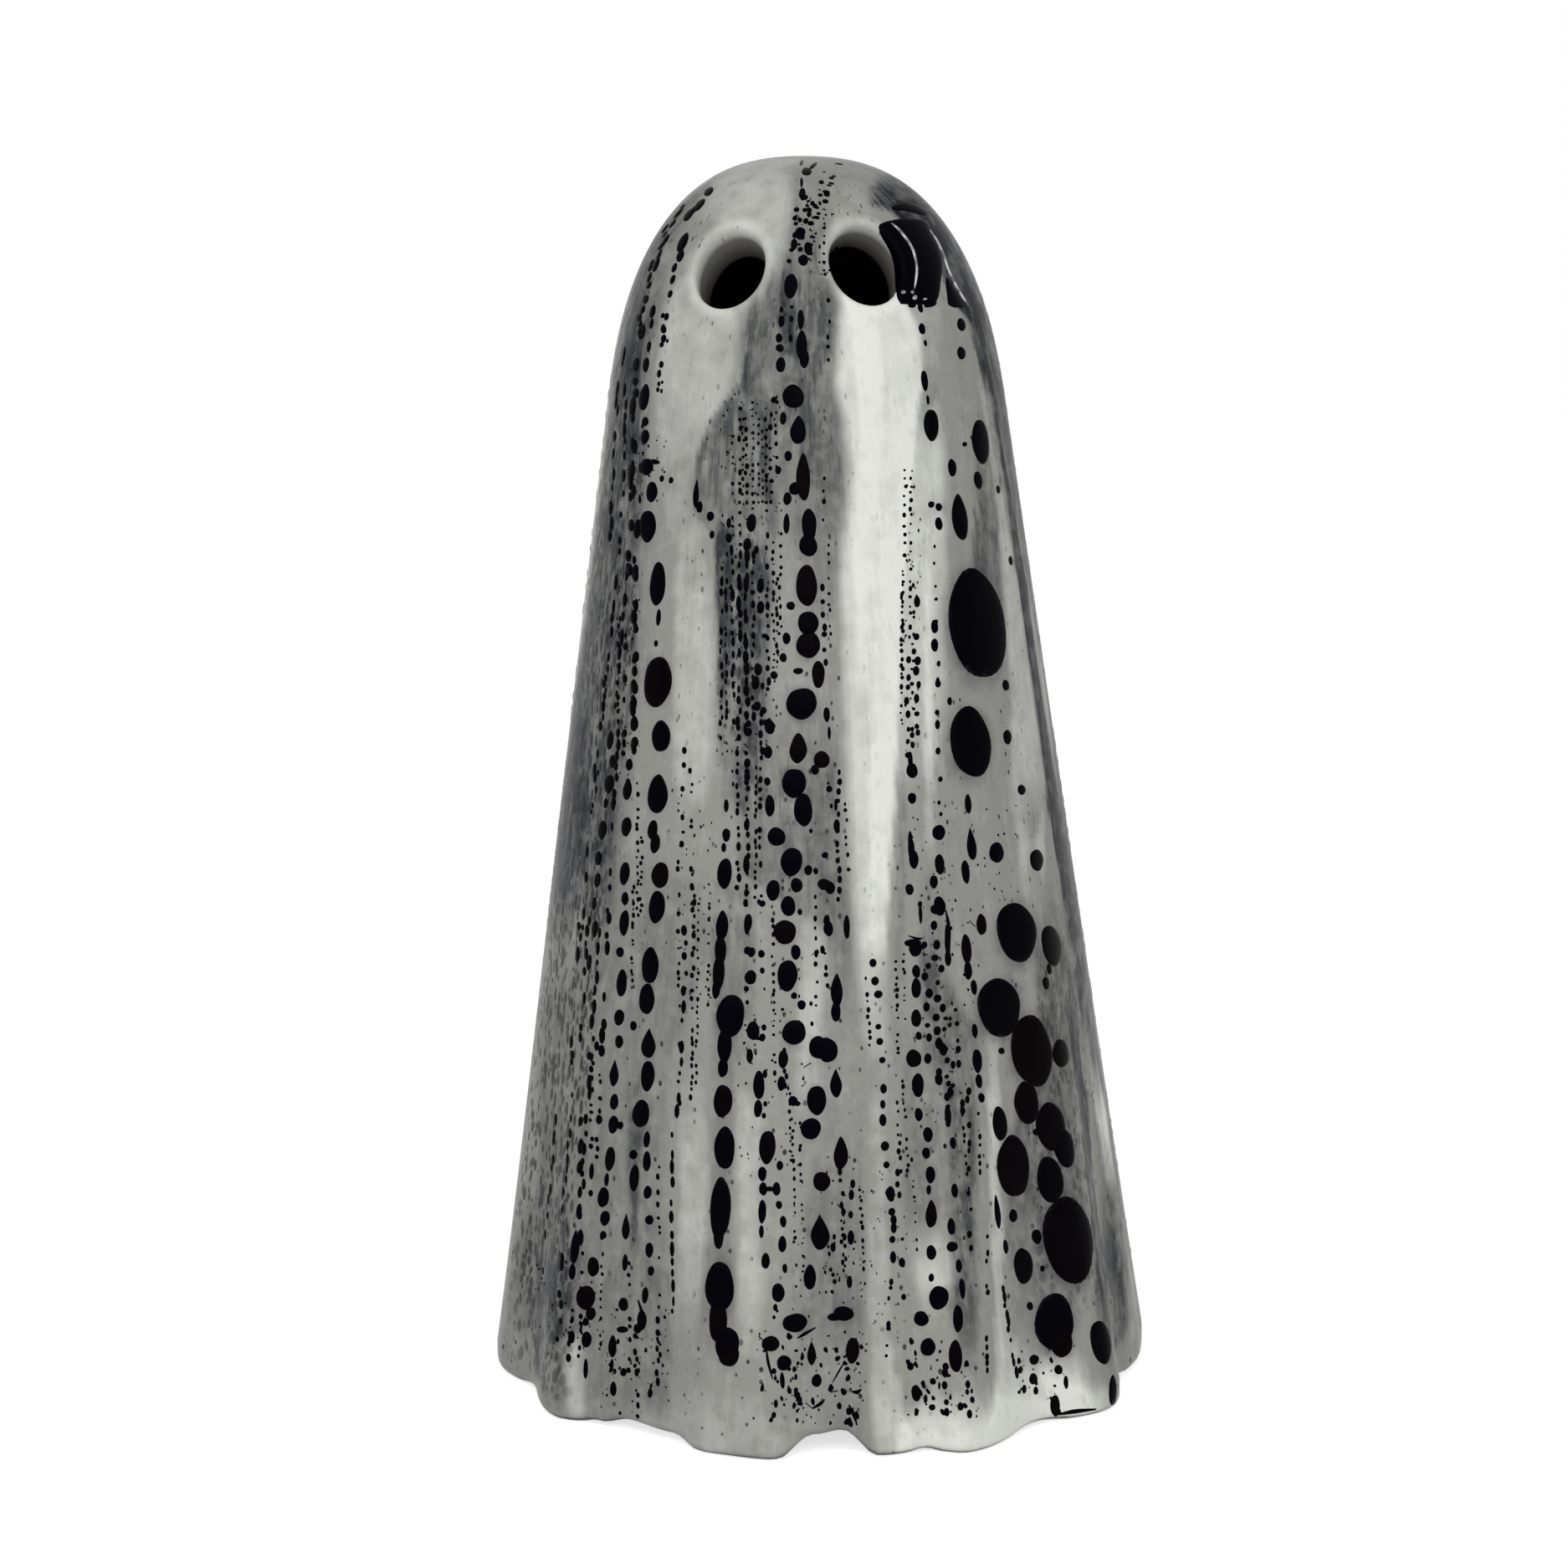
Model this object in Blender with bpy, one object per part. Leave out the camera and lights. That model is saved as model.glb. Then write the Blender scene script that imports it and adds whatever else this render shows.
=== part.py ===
# Ghost figurine: a hollow glazed ceramic shell, open underneath.
# The front faces -Y, the shell stands on Z = 0, and all sizes are in metres.

from math import asin, atan2, cos, degrees, pi, radians, sin

import bmesh
import bpy
from mathutils import Matrix, Vector

# Overall form
HEIGHT = 0.150
HEM_RADIUS = 0.0408
HEAD_RADIUS = 0.0200
CROWN_DEPTH = 0.0300
CROWN_SQUARENESS = 2.66
LEAN = -0.0020

# Wall and foot
WALL = 0.0045
FOOT_ROUND = 0.0013
HEM_BAND = 0.0030

# Folds of the skirt: they start at this height and grow down to the hem
FOLD_TOP = 0.085
FOLD_GROWTH = 2.4
INNER_FOLD_SHARE = 0.65
LIFT_TOP = 0.022

# The hem, once round: azimuth in degrees from the front, positive to the ghost's left hand,
# then how far a lobe stands out or a valley sinks in, and how high the edge lifts off the ground.
# A lobe's edge would reach below the ground, and is rubbed flat there.
FOOT = -0.0006
HEM_WAVES = (
    (-172.0, 0.0011, FOOT),
    (-160.0, -0.0014, 0.0012),
    (-146.0, 0.0010, FOOT),
    (-132.0, -0.0010, 0.0008),
    (-117.0, 0.0007, FOOT),
    (-103.0, -0.0011, 0.0010),
    (-90.0, -0.0003, FOOT),
    (-77.0, 0.0007, FOOT),
    (-65.0, -0.0010, 0.0004),
    (-51.0, 0.0016, FOOT),
    (-43.5, -0.0008, 0.0004),
    (-37.0, -0.0018, 0.0013),
    (-28.0, -0.0018, 0.0009),
    (-19.0, 0.0004, FOOT),
    (-9.0, 0.0008, FOOT),
    (-1.0, -0.0020, 0.0023),
    (4.0, -0.0024, 0.0027),
    (11.5, -0.0003, FOOT),
    (18.5, -0.0007, 0.0003),
    (25.5, 0.0020, FOOT),
    (42.0, -0.0010, 0.0004),
    (57.0, 0.0025, FOOT),
    (69.0, -0.0009, 0.0005),
    (82.0, 0.0002, FOOT),
    (96.0, 0.0004, FOOT),
    (110.0, -0.0013, 0.0011),
    (126.0, 0.0010, FOOT),
    (140.0, -0.0012, 0.0007),
    (155.0, 0.0012, FOOT),
    (171.0, -0.0012, 0.0014),
)

# Eye holes: oval, each at its own azimuth and drop below the crown, and pierced on a slant,
# so that the hole sinks by this share of its depth on the way in
EYE_WIDTH = 0.0088
EYE_HEIGHT = 0.0099
EYE_RIM_ROUND = 0.0010
EYES = {
    "right": (-29.0, 0.0103, 0.45),
    "left": (24.0, 0.0100, 0.20),
}

# Fineness of the mesh
COLUMNS = 96
CROWN_RINGS = 8
SKIRT_RINGS = 10
ARC_STEPS = 3
EYE_SIDES = 32
SHARP_ANGLE = radians(40)

# A thin wall limits the rounding of the foot, so that a flat land is left to stand on
FOOT_ARC = min(FOOT_ROUND, 0.4 * WALL)

GLAZE_COLOR = (0.58, 0.58, 0.53, 1.0)
GLAZE_ROUGHNESS = 0.2


def side_section(height, head_radius, hem_radius, crown_depth):
    """One side of the wall as (radius, height) points, from the crown down to the hem band."""
    taper = (hem_radius - head_radius) / height
    points = []
    for step in range(CROWN_RINGS + 1):
        angle = pi / 2 * step / CROWN_RINGS
        depth = crown_depth * (1 - max(cos(angle), 0.0) ** (2 / CROWN_SQUARENESS))
        radius = (head_radius + taper * depth) * sin(angle) ** (2 / CROWN_SQUARENESS)
        points.append((radius, height - depth))
    skirt_height = height - crown_depth - HEM_BAND
    for step in range(1, SKIRT_RINGS + 1):
        depth = crown_depth + skirt_height * step / SKIRT_RINGS
        points.append((head_radius + taper * depth, height - depth))
    return points


def foot_arc(radius, toward_axis):
    """The rounded edge of the foot on one side of the wall, from the side down to the ground."""
    points = []
    for step in range(ARC_STEPS + 1):
        angle = pi / 2 * step / ARC_STEPS
        inset = FOOT_ARC * (1 - cos(angle))
        height = FOOT_ARC * (1 - sin(angle))
        points.append((radius + toward_axis * inset, height))
    return points


def wall_section():
    """The whole wall as (radius, height, fold share): outer side, foot, then inner side up."""
    outer = side_section(HEIGHT, HEAD_RADIUS, HEM_RADIUS, CROWN_DEPTH)
    outer += foot_arc(outer[-1][0], -1)
    inner = side_section(
        HEIGHT - WALL, HEAD_RADIUS - WALL, HEM_RADIUS - WALL, CROWN_DEPTH - WALL
    )
    inner += foot_arc(inner[-1][0], 1)
    section = [(radius, height, 1.0) for radius, height in outer]
    section += [(radius, height, INNER_FOLD_SHARE) for radius, height in reversed(inner)]
    return section


def hem_wave(azimuth):
    """How far the hem stands out and how high it lifts at an azimuth in degrees."""
    first = HEM_WAVES[0][0]
    azimuth = first + (azimuth - first) % 360
    turn = HEM_WAVES + ((first + 360, *HEM_WAVES[0][1:]),)
    for start, end in zip(turn, turn[1:]):
        if azimuth <= end[0]:
            share = (azimuth - start[0]) / (end[0] - start[0])
            blend = (1 - cos(pi * share)) / 2
            return [a + (b - a) * blend for a, b in zip(start[1:], end[1:])]
    return HEM_WAVES[0][1:]


def fold_growth(height):
    """Nothing at the top of the folds, 1 from the hem band down."""
    reach = (FOLD_TOP - max(height, HEM_BAND)) / (FOLD_TOP - HEM_BAND)
    return max(reach, 0.0) ** FOLD_GROWTH


def lift_share(height):
    """1 at the ground and nothing at the top of the lifted zone."""
    return max(1 - height / LIFT_TOP, 0.0) ** 2


def skin_point(radius, height, fold_share, azimuth):
    """The place of a section point at an azimuth, with folds, lifted hem and lean."""
    out, lift = hem_wave(azimuth)
    radius += out * fold_share * fold_growth(height)
    height += max(lift, 0.0) * lift_share(height)
    angle = radians(azimuth)
    lean = LEAN * height / HEIGHT
    return Vector((radius * sin(angle) + lean, -radius * cos(angle), height))


def shell_mesh():
    """A loft through the rings of the wall section, round at the crown and folded at the hem."""
    section = wall_section()
    build = bmesh.new()
    crown = build.verts.new(skin_point(*section[0], 0))
    rings = [
        [
            build.verts.new(skin_point(*point, 360 * column / COLUMNS))
            for column in range(COLUMNS)
        ]
        for point in section[1:-1]
    ]
    ceiling = build.verts.new(skin_point(*section[-1], 0))
    for column in range(COLUMNS):
        after = (column + 1) % COLUMNS
        build.faces.new((crown, rings[0][column], rings[0][after]))
        build.faces.new((ceiling, rings[-1][after], rings[-1][column]))
        for upper, lower in zip(rings, rings[1:]):
            build.faces.new((upper[column], lower[column], lower[after], upper[after]))
    mesh = bpy.data.meshes.new("ghost_shell")
    build.to_mesh(mesh)
    build.free()
    return mesh


def skin_at(height):
    """Radius of the outer skin above the folds, and how far its normal tilts up in degrees."""
    outer = side_section(HEIGHT, HEAD_RADIUS, HEM_RADIUS, CROWN_DEPTH)
    for upper, lower in zip(outer, outer[1:]):
        if lower[1] <= height:
            share = (upper[1] - height) / (upper[1] - lower[1])
            radius = upper[0] + (lower[0] - upper[0]) * share
            tilt = degrees(atan2(lower[0] - upper[0], upper[1] - lower[1]))
            return radius, tilt
    return outer[-1][0], 0.0


def eye_cutter(name, azimuth, drop, slant, collection):
    """A turned plug that flares out at the skin, made oval and slanted, and reaches the head's axis."""
    hole = EYE_WIDTH / 2
    mouth = hole + EYE_RIM_ROUND
    fall = HEAD_RADIUS * (1 - cos(asin(mouth / HEAD_RADIUS)))
    profile = [(0.0, WALL), (mouth, WALL)]
    for step in range(ARC_STEPS + 1):
        angle = pi / 2 * step / ARC_STEPS
        flare = EYE_RIM_ROUND * (1 - sin(angle))
        depth = fall + EYE_RIM_ROUND * (1 - cos(angle))
        profile.append((hole + flare, -depth))
    profile += [(hole, -HEAD_RADIUS), (0.0, -HEAD_RADIUS)]
    build = bmesh.new()
    chain = [build.verts.new((radius, 0.0, up)) for radius, up in profile]
    edges = [build.edges.new(pair) for pair in zip(chain, chain[1:])]
    bmesh.ops.spin(
        build, geom=chain + edges, cent=(0, 0, 0), axis=(0, 0, 1), angle=2 * pi, steps=EYE_SIDES,
        use_merge=True
    )
    bmesh.ops.remove_doubles(build, verts=build.verts, dist=0.00001)
    bmesh.ops.recalc_face_normals(build, faces=build.faces)
    oval = Matrix.Diagonal((1.0, EYE_HEIGHT / EYE_WIDTH, 1.0, 1.0))
    bmesh.ops.transform(build, matrix=Matrix.Shear("XY", 4, (0.0, slant)) @ oval, verts=build.verts)
    mesh = bpy.data.meshes.new(f"eye_cutter_{name}")
    build.to_mesh(mesh)
    build.free()
    cutter = bpy.data.objects.new(f"eye_cutter_{name}", mesh)
    collection.objects.link(cutter)
    radius, tilt = skin_at(HEIGHT - drop)
    cutter.location = skin_point(radius, HEIGHT - drop, 0.0, azimuth)
    cutter.rotation_euler = (radians(90 - tilt), 0.0, radians(azimuth))
    cutter.hide_render = True
    cutter.display_type = "WIRE"
    return cutter


def glaze_material():
    material = bpy.data.materials.new("glaze")
    material.use_nodes = True
    shader = material.node_tree.nodes["Principled BSDF"]
    shader.inputs["Base Color"].default_value = GLAZE_COLOR
    shader.inputs["Roughness"].default_value = GLAZE_ROUGHNESS
    shader.inputs["Metallic"].default_value = 0.0
    material.diffuse_color = GLAZE_COLOR
    return material


def ghost_shell(collection, cutter_collection):
    mesh = shell_mesh()
    mesh.shade_smooth()
    mesh.set_sharp_from_angle(angle=SHARP_ANGLE)
    mesh.materials.append(glaze_material())
    shell = bpy.data.objects.new("ghost_shell", mesh)
    collection.objects.link(shell)
    for name, (azimuth, drop, slant) in EYES.items():
        hole = shell.modifiers.new(f"Eye {name}", "BOOLEAN")
        hole.operation = "DIFFERENCE"
        hole.solver = "EXACT"
        hole.object = eye_cutter(name, azimuth, drop, slant, cutter_collection)
        hole.object.parent = shell
    return shell


def centre_footprint(thing):
    """Sets the middle of the object's bounds over the origin."""
    for axis in (0, 1):
        places = [vertex.co[axis] for vertex in thing.data.vertices]
        thing.location[axis] = -(min(places) + max(places)) / 2


def new_collection(name):
    collection = bpy.data.collections.new(name)
    bpy.context.scene.collection.children.link(collection)
    return collection


for old in list(bpy.data.objects):
    bpy.data.objects.remove(old)

figurine = ghost_shell(new_collection("ghost figurine"), new_collection("cutters"))
centre_footprint(figurine)
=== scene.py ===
from math import atan2, cos, degrees, hypot, pi, radians, sin, sqrt
from random import Random

import bpy
import numpy as np
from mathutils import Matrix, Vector
from mathutils.bvhtree import BVHTree


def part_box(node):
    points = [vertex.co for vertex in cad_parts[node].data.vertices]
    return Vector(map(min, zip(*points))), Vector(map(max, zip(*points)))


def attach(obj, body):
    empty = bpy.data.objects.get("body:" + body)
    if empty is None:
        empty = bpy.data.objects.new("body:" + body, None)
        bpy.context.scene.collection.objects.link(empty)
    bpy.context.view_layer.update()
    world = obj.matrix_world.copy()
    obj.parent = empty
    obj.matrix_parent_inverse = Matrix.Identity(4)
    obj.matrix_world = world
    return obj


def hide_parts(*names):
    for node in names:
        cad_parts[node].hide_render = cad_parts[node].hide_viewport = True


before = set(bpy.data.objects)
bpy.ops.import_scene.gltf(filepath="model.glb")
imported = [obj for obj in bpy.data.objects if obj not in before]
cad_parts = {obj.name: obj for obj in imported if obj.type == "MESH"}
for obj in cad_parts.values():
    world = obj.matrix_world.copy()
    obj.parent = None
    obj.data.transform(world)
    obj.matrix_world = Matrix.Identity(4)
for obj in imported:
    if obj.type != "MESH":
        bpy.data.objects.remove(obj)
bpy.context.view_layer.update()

scene = bpy.context.scene
collection = scene.collection
mm = 0.001


# Camera: where the photograph was taken from
photo = {
    "imageSize": 1874,
    "cameraPlace": (0.0, -0.600, 0.2213),
    "lookAt": (0.0, 0.0, 0.075),
    "focalPixels": 5994.0,
    "lookAtPixel": (981.5, 917.3),            # where that point lies in the photograph
    "sensor": 36.0,
}
eyePoint = Vector(photo["cameraPlace"])
ahead = (Vector(photo["lookAt"]) - eyePoint).normalized()
sideways = ahead.cross(Vector((0, 0, 1))).normalized()
upward = sideways.cross(ahead)


def makeCamera():
    size = photo["imageSize"]
    camera = bpy.data.objects.new("photo_camera", bpy.data.cameras.new("photo_camera"))
    camera.data.sensor_width = photo["sensor"]
    camera.data.lens = photo["sensor"] * photo["focalPixels"] / size
    camera.data.shift_x = (size / 2 - photo["lookAtPixel"][0]) / size
    camera.data.shift_y = (photo["lookAtPixel"][1] - size / 2) / size
    camera.data.clip_start = 0.01
    camera.location = eyePoint
    camera.rotation_euler = ahead.to_track_quat("-Z", "Y").to_euler()
    collection.objects.link(camera)
    scene.camera = camera


def pixelRay(x, y):
    across = (x - photo["lookAtPixel"][0]) / photo["focalPixels"]
    down = (y - photo["lookAtPixel"][1]) / photo["focalPixels"]
    return (ahead + sideways * across - upward * down).normalized()


def pixelOf(point):
    away = point - eyePoint
    depth = away.dot(ahead)
    x = photo["lookAtPixel"][0] + photo["focalPixels"] * away.dot(sideways) / depth
    y = photo["lookAtPixel"][1] - photo["focalPixels"] * away.dot(upward) / depth
    return x, y


makeCamera()
print("camera set")


# Node helpers: a small graph writer, used for the materials and for the Geometry Nodes trees
class Wire:
    def __init__(self, graph, socket):
        self.graph = graph
        self.socket = socket

    def math(self, operation, first, second=None):
        values = [first] if second is None else [first, second]
        return self.graph.node("ShaderNodeMath", {"operation": operation}, values)

    def __add__(self, other):
        return self.math("ADD", self, other)

    def __radd__(self, other):
        return self.math("ADD", other, self)

    def __sub__(self, other):
        return self.math("SUBTRACT", self, other)

    def __rsub__(self, other):
        return self.math("SUBTRACT", other, self)

    def __mul__(self, other):
        return self.math("MULTIPLY", self, other)

    def __rmul__(self, other):
        return self.math("MULTIPLY", other, self)

    def __truediv__(self, other):
        return self.math("DIVIDE", self, other)

    def __pow__(self, other):
        return self.math("POWER", self, other)

    def atLeast(self, other):
        return self.math("MAXIMUM", self, other)

    def atMost(self, other):
        return self.math("MINIMUM", self, other)

    def clamped(self):
        return self.atLeast(0.0).atMost(1.0)

    def stepBetween(self, low, high):         # 0 below low, 1 above high, smooth between
        ends = {"Value": self, "From Min": low, "From Max": high}
        return self.graph.node("ShaderNodeMapRange", {"interpolation_type": "SMOOTHSTEP"}, ends)

    def other(self, name):                    # another output of the same node
        return Wire(self.graph, self.socket.node.outputs[name])


class Graph:
    def __init__(self, tree):
        self.tree = tree

    def node(self, kind, settings=None, values=(), output=0):
        node = self.tree.nodes.new(kind)
        for name, setting in (settings or {}).items():
            setattr(node, name, setting)
        pairs = values.items() if isinstance(values, dict) else enumerate(values)
        for name, value in pairs:
            if isinstance(value, Wire):
                self.tree.links.new(value.socket, node.inputs[name])
            else:
                node.inputs[name].default_value = value
        return Wire(self, node.outputs[output])

    def mixColor(self, factor, first, second):
        node = self.tree.nodes.new("ShaderNodeMix")
        node.data_type = "RGBA"
        for place, value in ((0, factor), (6, first), (7, second)):       # its factor and two colours
            if isinstance(value, Wire):
                self.tree.links.new(value.socket, node.inputs[place])
            else:
                node.inputs[place].default_value = value
        return Wire(self, node.outputs[2])

    def noise(self, place, scale, detail=2.0, roughness=0.5):
        values = {"Vector": place, "Scale": scale, "Detail": detail, "Roughness": roughness}
        return self.node("ShaderNodeTexNoise", {}, values)

    def evenNoise(self, scale, detail):       # a noise that lies evenly on the object
        return self.noise(self.node("ShaderNodeTexCoord", output="Object"), scale, detail)

    def dots(self, place, scale, size):       # scattered spots of uneven size, 1 inside a spot
        away = self.node("ShaderNodeTexVoronoi", {}, {"Vector": place, "Scale": scale}, "Distance")
        luck = self.node("ShaderNodeSeparateColor", {}, [away.other("Color")])
        edge = (luck + 0.3) * size            # a spot is full to 0.6 of this, then fades
        return 1.0 - away.stepBetween(edge * 0.6, edge)

    def attribute(self, name, output=2):
        return self.node("ShaderNodeAttribute", {"attribute_name": name}, output=output)

    def scaled(self, place, factors):
        return self.node("ShaderNodeVectorMath", {"operation": "MULTIPLY"}, [place, factors])

    def link(self, wire, socket):
        self.tree.links.new(wire.socket, socket)


def glazeColor(red, green, blue):             # a colour as read on screen, 0 to 255
    shares = [value / 255 for value in (red, green, blue)]
    linear = [s / 12.92 if s <= 0.04045 else ((s + 0.055) / 1.055) ** 2.4 for s in shares]
    return (*linear, 1.0)


def newMaterial(name, roughness, specular):
    material = bpy.data.materials.new(name)
    material.use_nodes = True
    shader = material.node_tree.nodes["Principled BSDF"]
    shader.inputs["Roughness"].default_value = roughness
    shader.inputs["Specular IOR Level"].default_value = specular
    return material, Graph(material.node_tree), shader.inputs


# The shell: a bell with a squarish crown, as the CAD has it, woven finely for the glaze
ghost = {
    "height": 0.150, "hemRadius": 0.0408, "headRadius": 0.0200, "crownDepth": 0.0300,
    "crownSquareness": 2.66, "lean": -0.0020, "wall": 0.0045, "footRound": 0.0013,
    "hemBand": 0.0030, "foldTop": 0.085, "foldGrowth": 2.4, "innerFoldShare": 0.65,
    "liftTop": 0.022,
    "eyeHalfWidth": 0.0044, "eyeHalfHeight": 0.00495, "eyeRim": 0.0010, "innerRim": 0.0004,
    "eyes": {"right": (-29.0, 0.0103, 0.45), "left": (24.0, 0.0100, 0.20)},   # azimuth, drop, slant
    "columns": 288, "crownRows": 62, "skirtRows": 148, "innerStep": 4, "footSteps": 6,
    "profileSteps": 3000, "halvings": 36,     # far finer than the skin needs
    "windowRows": 12, "windowColumns": 20,    # half the block of rows and columns that an eye takes
    "eyeRings": 7, "rimSteps": 7, "boreSteps": 9, "rimEase": 0.6, "rimDepth": 0.85,
    "eyeStart": 0.006, "eyeReach": 0.018,     # where the search for the skin starts, and how far it goes
}

# Hem, once round: azimuth from the front, how far it stands out, how high it lifts, in mm
hemWaves = (
    (-172, 1.1, -0.6), (-160, -1.4, 1.2), (-146, 1.0, -0.6), (-132, -1.0, 0.8), (-117, 0.7, -0.6),
    (-103, -1.1, 1.0), (-90, -0.3, -0.6), (-77, 0.7, -0.6), (-65, -1.0, 0.4), (-51, 1.6, -0.6),
    (-43.5, -0.8, 0.4), (-37, -1.8, 1.3), (-28, -1.8, 0.9), (-19, 0.4, -0.6), (-9, 0.8, -0.6),
    (-1, -2.0, 2.3), (4, -2.4, 2.7), (11.5, -0.3, -0.6), (18.5, -0.7, 0.3), (25.5, 2.0, -0.6),
    (42, -1.0, 0.4), (57, 2.5, -0.6), (69, -0.9, 0.5), (82, 0.2, -0.6), (96, 0.4, -0.6),
    (110, -1.3, 1.1), (126, 1.0, -0.6), (140, -1.2, 0.7), (155, 1.2, -0.6), (171, -1.2, 1.4),
)


def hemWave(azimuth):
    first = hemWaves[0][0]
    azimuth = first + (azimuth - first) % 360
    turn = hemWaves + ((first + 360, *hemWaves[0][1:]),)
    for start, end in zip(turn, turn[1:]):
        if azimuth <= end[0]:
            blend = (1 - cos(pi * (azimuth - start[0]) / (end[0] - start[0]))) / 2
            return [(a + (b - a) * blend) * mm for a, b in zip(start[1:], end[1:])]
    return [value * mm for value in hemWaves[0][1:]]


def bellOf(inset):                            # the outer bell, or the inner one a wall further in
    return {
        "height": ghost["height"] - inset,
        "head": ghost["headRadius"] - inset,
        "depth": ghost["crownDepth"] - inset,
        "taper": (ghost["hemRadius"] - ghost["headRadius"]) / (ghost["height"] - inset),
    }


def runLengths(radii, heights):               # how far along the curve each of its points lies
    return np.concatenate(([0.0], np.cumsum(np.hypot(np.diff(radii), np.diff(heights)))))


def evenRows(radii, heights, count):          # the same curve in steps of equal length
    run = runLengths(radii, heights)
    even = np.linspace(0.0, run[-1], count + 1)
    return np.interp(even, run, radii), np.interp(even, run, heights)


def bellProfile(bell):
    power = 2 / ghost["crownSquareness"]
    turn = np.linspace(0.0, pi / 2, ghost["profileSteps"])
    depth = bell["depth"] * (1 - np.cos(turn).clip(0.0) ** power)
    radii = (bell["head"] + bell["taper"] * depth) * np.sin(turn) ** power
    crown = evenRows(radii, bell["height"] - depth, ghost["crownRows"])
    depth = np.linspace(bell["depth"], bell["height"] - ghost["hemBand"], ghost["skirtRows"] + 1)[1:]
    skirt = (bell["head"] + bell["taper"] * depth, bell["height"] - depth)
    return np.concatenate((crown[0], skirt[0])), np.concatenate((crown[1], skirt[1]))


def landOnBell(bell, starts, direction, most):            # how far along each start meets the bell
    near, far = np.zeros(len(starts)), np.full(len(starts), most)
    for _ in range(ghost["halvings"]):
        middle = (near + far) / 2
        x, y, z = (starts + middle[:, None] * direction).T
        depth = bell["height"] - z
        radius = np.hypot(x, y) / (bell["head"] + bell["taper"] * depth)
        cap = (1 - depth / bell["depth"]).clip(0.0)
        outside = cap ** ghost["crownSquareness"] + radius ** ghost["crownSquareness"] > 1
        near, far = np.where(outside, middle, near), np.where(outside, far, middle)
    return (near + far) / 2


def eyeFrame(azimuth, drop, slant):           # centre on the skin, way out, across, up, row, slant
    radii, heights = bellProfile(bellOf(0.0))
    height = ghost["height"] - drop
    row = int(np.searchsorted(-heights, -height))
    radius = float(np.interp(height, heights[::-1], radii[::-1]))
    tilt = atan2(radii[row + 2] - radii[row - 2], heights[row - 2] - heights[row + 2])
    turn = radians(azimuth)
    centre = np.array((radius * sin(turn), -radius * cos(turn), height))
    normal = np.array((sin(turn) * cos(tilt), -cos(turn) * cos(tilt), sin(tilt)))
    across = np.array((cos(turn), sin(turn), 0.0))
    up = np.cross(normal, across)
    return centre, normal + slant * up, across, up - slant * normal, up, row


class Weave:
    def __init__(self):
        self.points, self.depths, self.faces = [], [], []

    def point(self, place, depth):            # depth is 0 on the outer skin and 1 inside
        self.points.append(place)
        self.depths.append(depth)
        return len(self.points) - 1

    def quads(self, first, second, closed=True, flip=False):
        count = len(first)
        for k in range(count if closed else count - 1):
            after = (k + 1) % count
            face = (first[k], second[k], second[after], first[after])
            self.faces.append(face[::-1] if flip else face)


def ringPoint(radius, height, column):
    turn = 2 * pi * column / ghost["columns"]
    return (radius * sin(turn), -radius * cos(turn), height)


def inWindow(windows, row, column, border):   # border 1 leaves the window's own edge out
    wide, columns = 2 * ghost["windowColumns"], ghost["columns"]
    return any(top + border <= row < bottom and border <= (column - left) % columns < wide
               for top, bottom, left in windows)


def weaveBell(weave, radii, heights, rows, depth, flip, windows):
    columns, grid = ghost["columns"], {}
    for row in rows:
        for column in range(columns):
            if not inWindow(windows, row, column, 1):
                grid[row, column] = weave.point(ringPoint(radii[row], heights[row], column), depth)
    for upper, lower in zip(rows, rows[1:]):
        for column in range(columns):
            if not inWindow(windows, upper, column, 0):
                after = (column + 1) % columns
                first = [grid[upper, column], grid[upper, after]]
                second = [grid[lower, column], grid[lower, after]]
                weave.quads(first, second, closed=False, flip=flip)
    return grid


def windowLoop(grid, window):
    top, bottom, left = window
    wide, columns = 2 * ghost["windowColumns"], ghost["columns"]
    keys = [(top, left + k) for k in range(wide)] + [(row, left + wide) for row in range(top, bottom)]
    keys += [(bottom, left + wide - k) for k in range(wide)]
    keys += [(row, left) for row in range(bottom, top, -1)]
    return [grid[row, column % columns] for row, column in keys]


def ovalOf(angles, grown):                    # the eye's oval, grown by so much, as across and up
    return np.stack((np.cos(angles) * (ghost["eyeHalfWidth"] + grown),
                     np.sin(angles) * (ghost["eyeHalfHeight"] + grown)), axis=1)


def eyeLanding(frameOfEye, bell, flat):       # how far out along the way each flat place meets a bell
    centre, way, across, _, up, _ = frameOfEye
    starts = centre + flat[:, :1] * across + flat[:, 1:] * up + way * ghost["eyeStart"]
    return ghost["eyeStart"] - landOnBell(bell, starts, -way, ghost["eyeReach"])


def eyePlaces(frameOfEye, flat, out):
    centre, way, across, _, up, _ = frameOfEye
    return centre + flat[:, :1] * across + flat[:, 1:] * up + out[:, None] * way


def eyeSkin(weave, loop, bell, frameOfEye, grown, depth, flip):
    centre, _, across, level, _, _ = frameOfEye
    edge = np.array([weave.points[index] for index in loop]) - centre
    flat = np.stack((edge @ across, edge @ level), axis=1)
    angles = np.arctan2(flat[:, 1], flat[:, 0])
    oval = ovalOf(angles, grown)
    rings, last = ghost["eyeRings"], loop
    for ring in range(1, rings + 1):
        share = ring / rings
        place = flat * (1 - share) + oval * share
        out = eyeLanding(frameOfEye, bell, place)
        now = [weave.point(tuple(spot), depth) for spot in eyePlaces(frameOfEye, place, out)]
        weave.quads(last, now, flip=flip)
        last = now
    return last, angles, out


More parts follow.
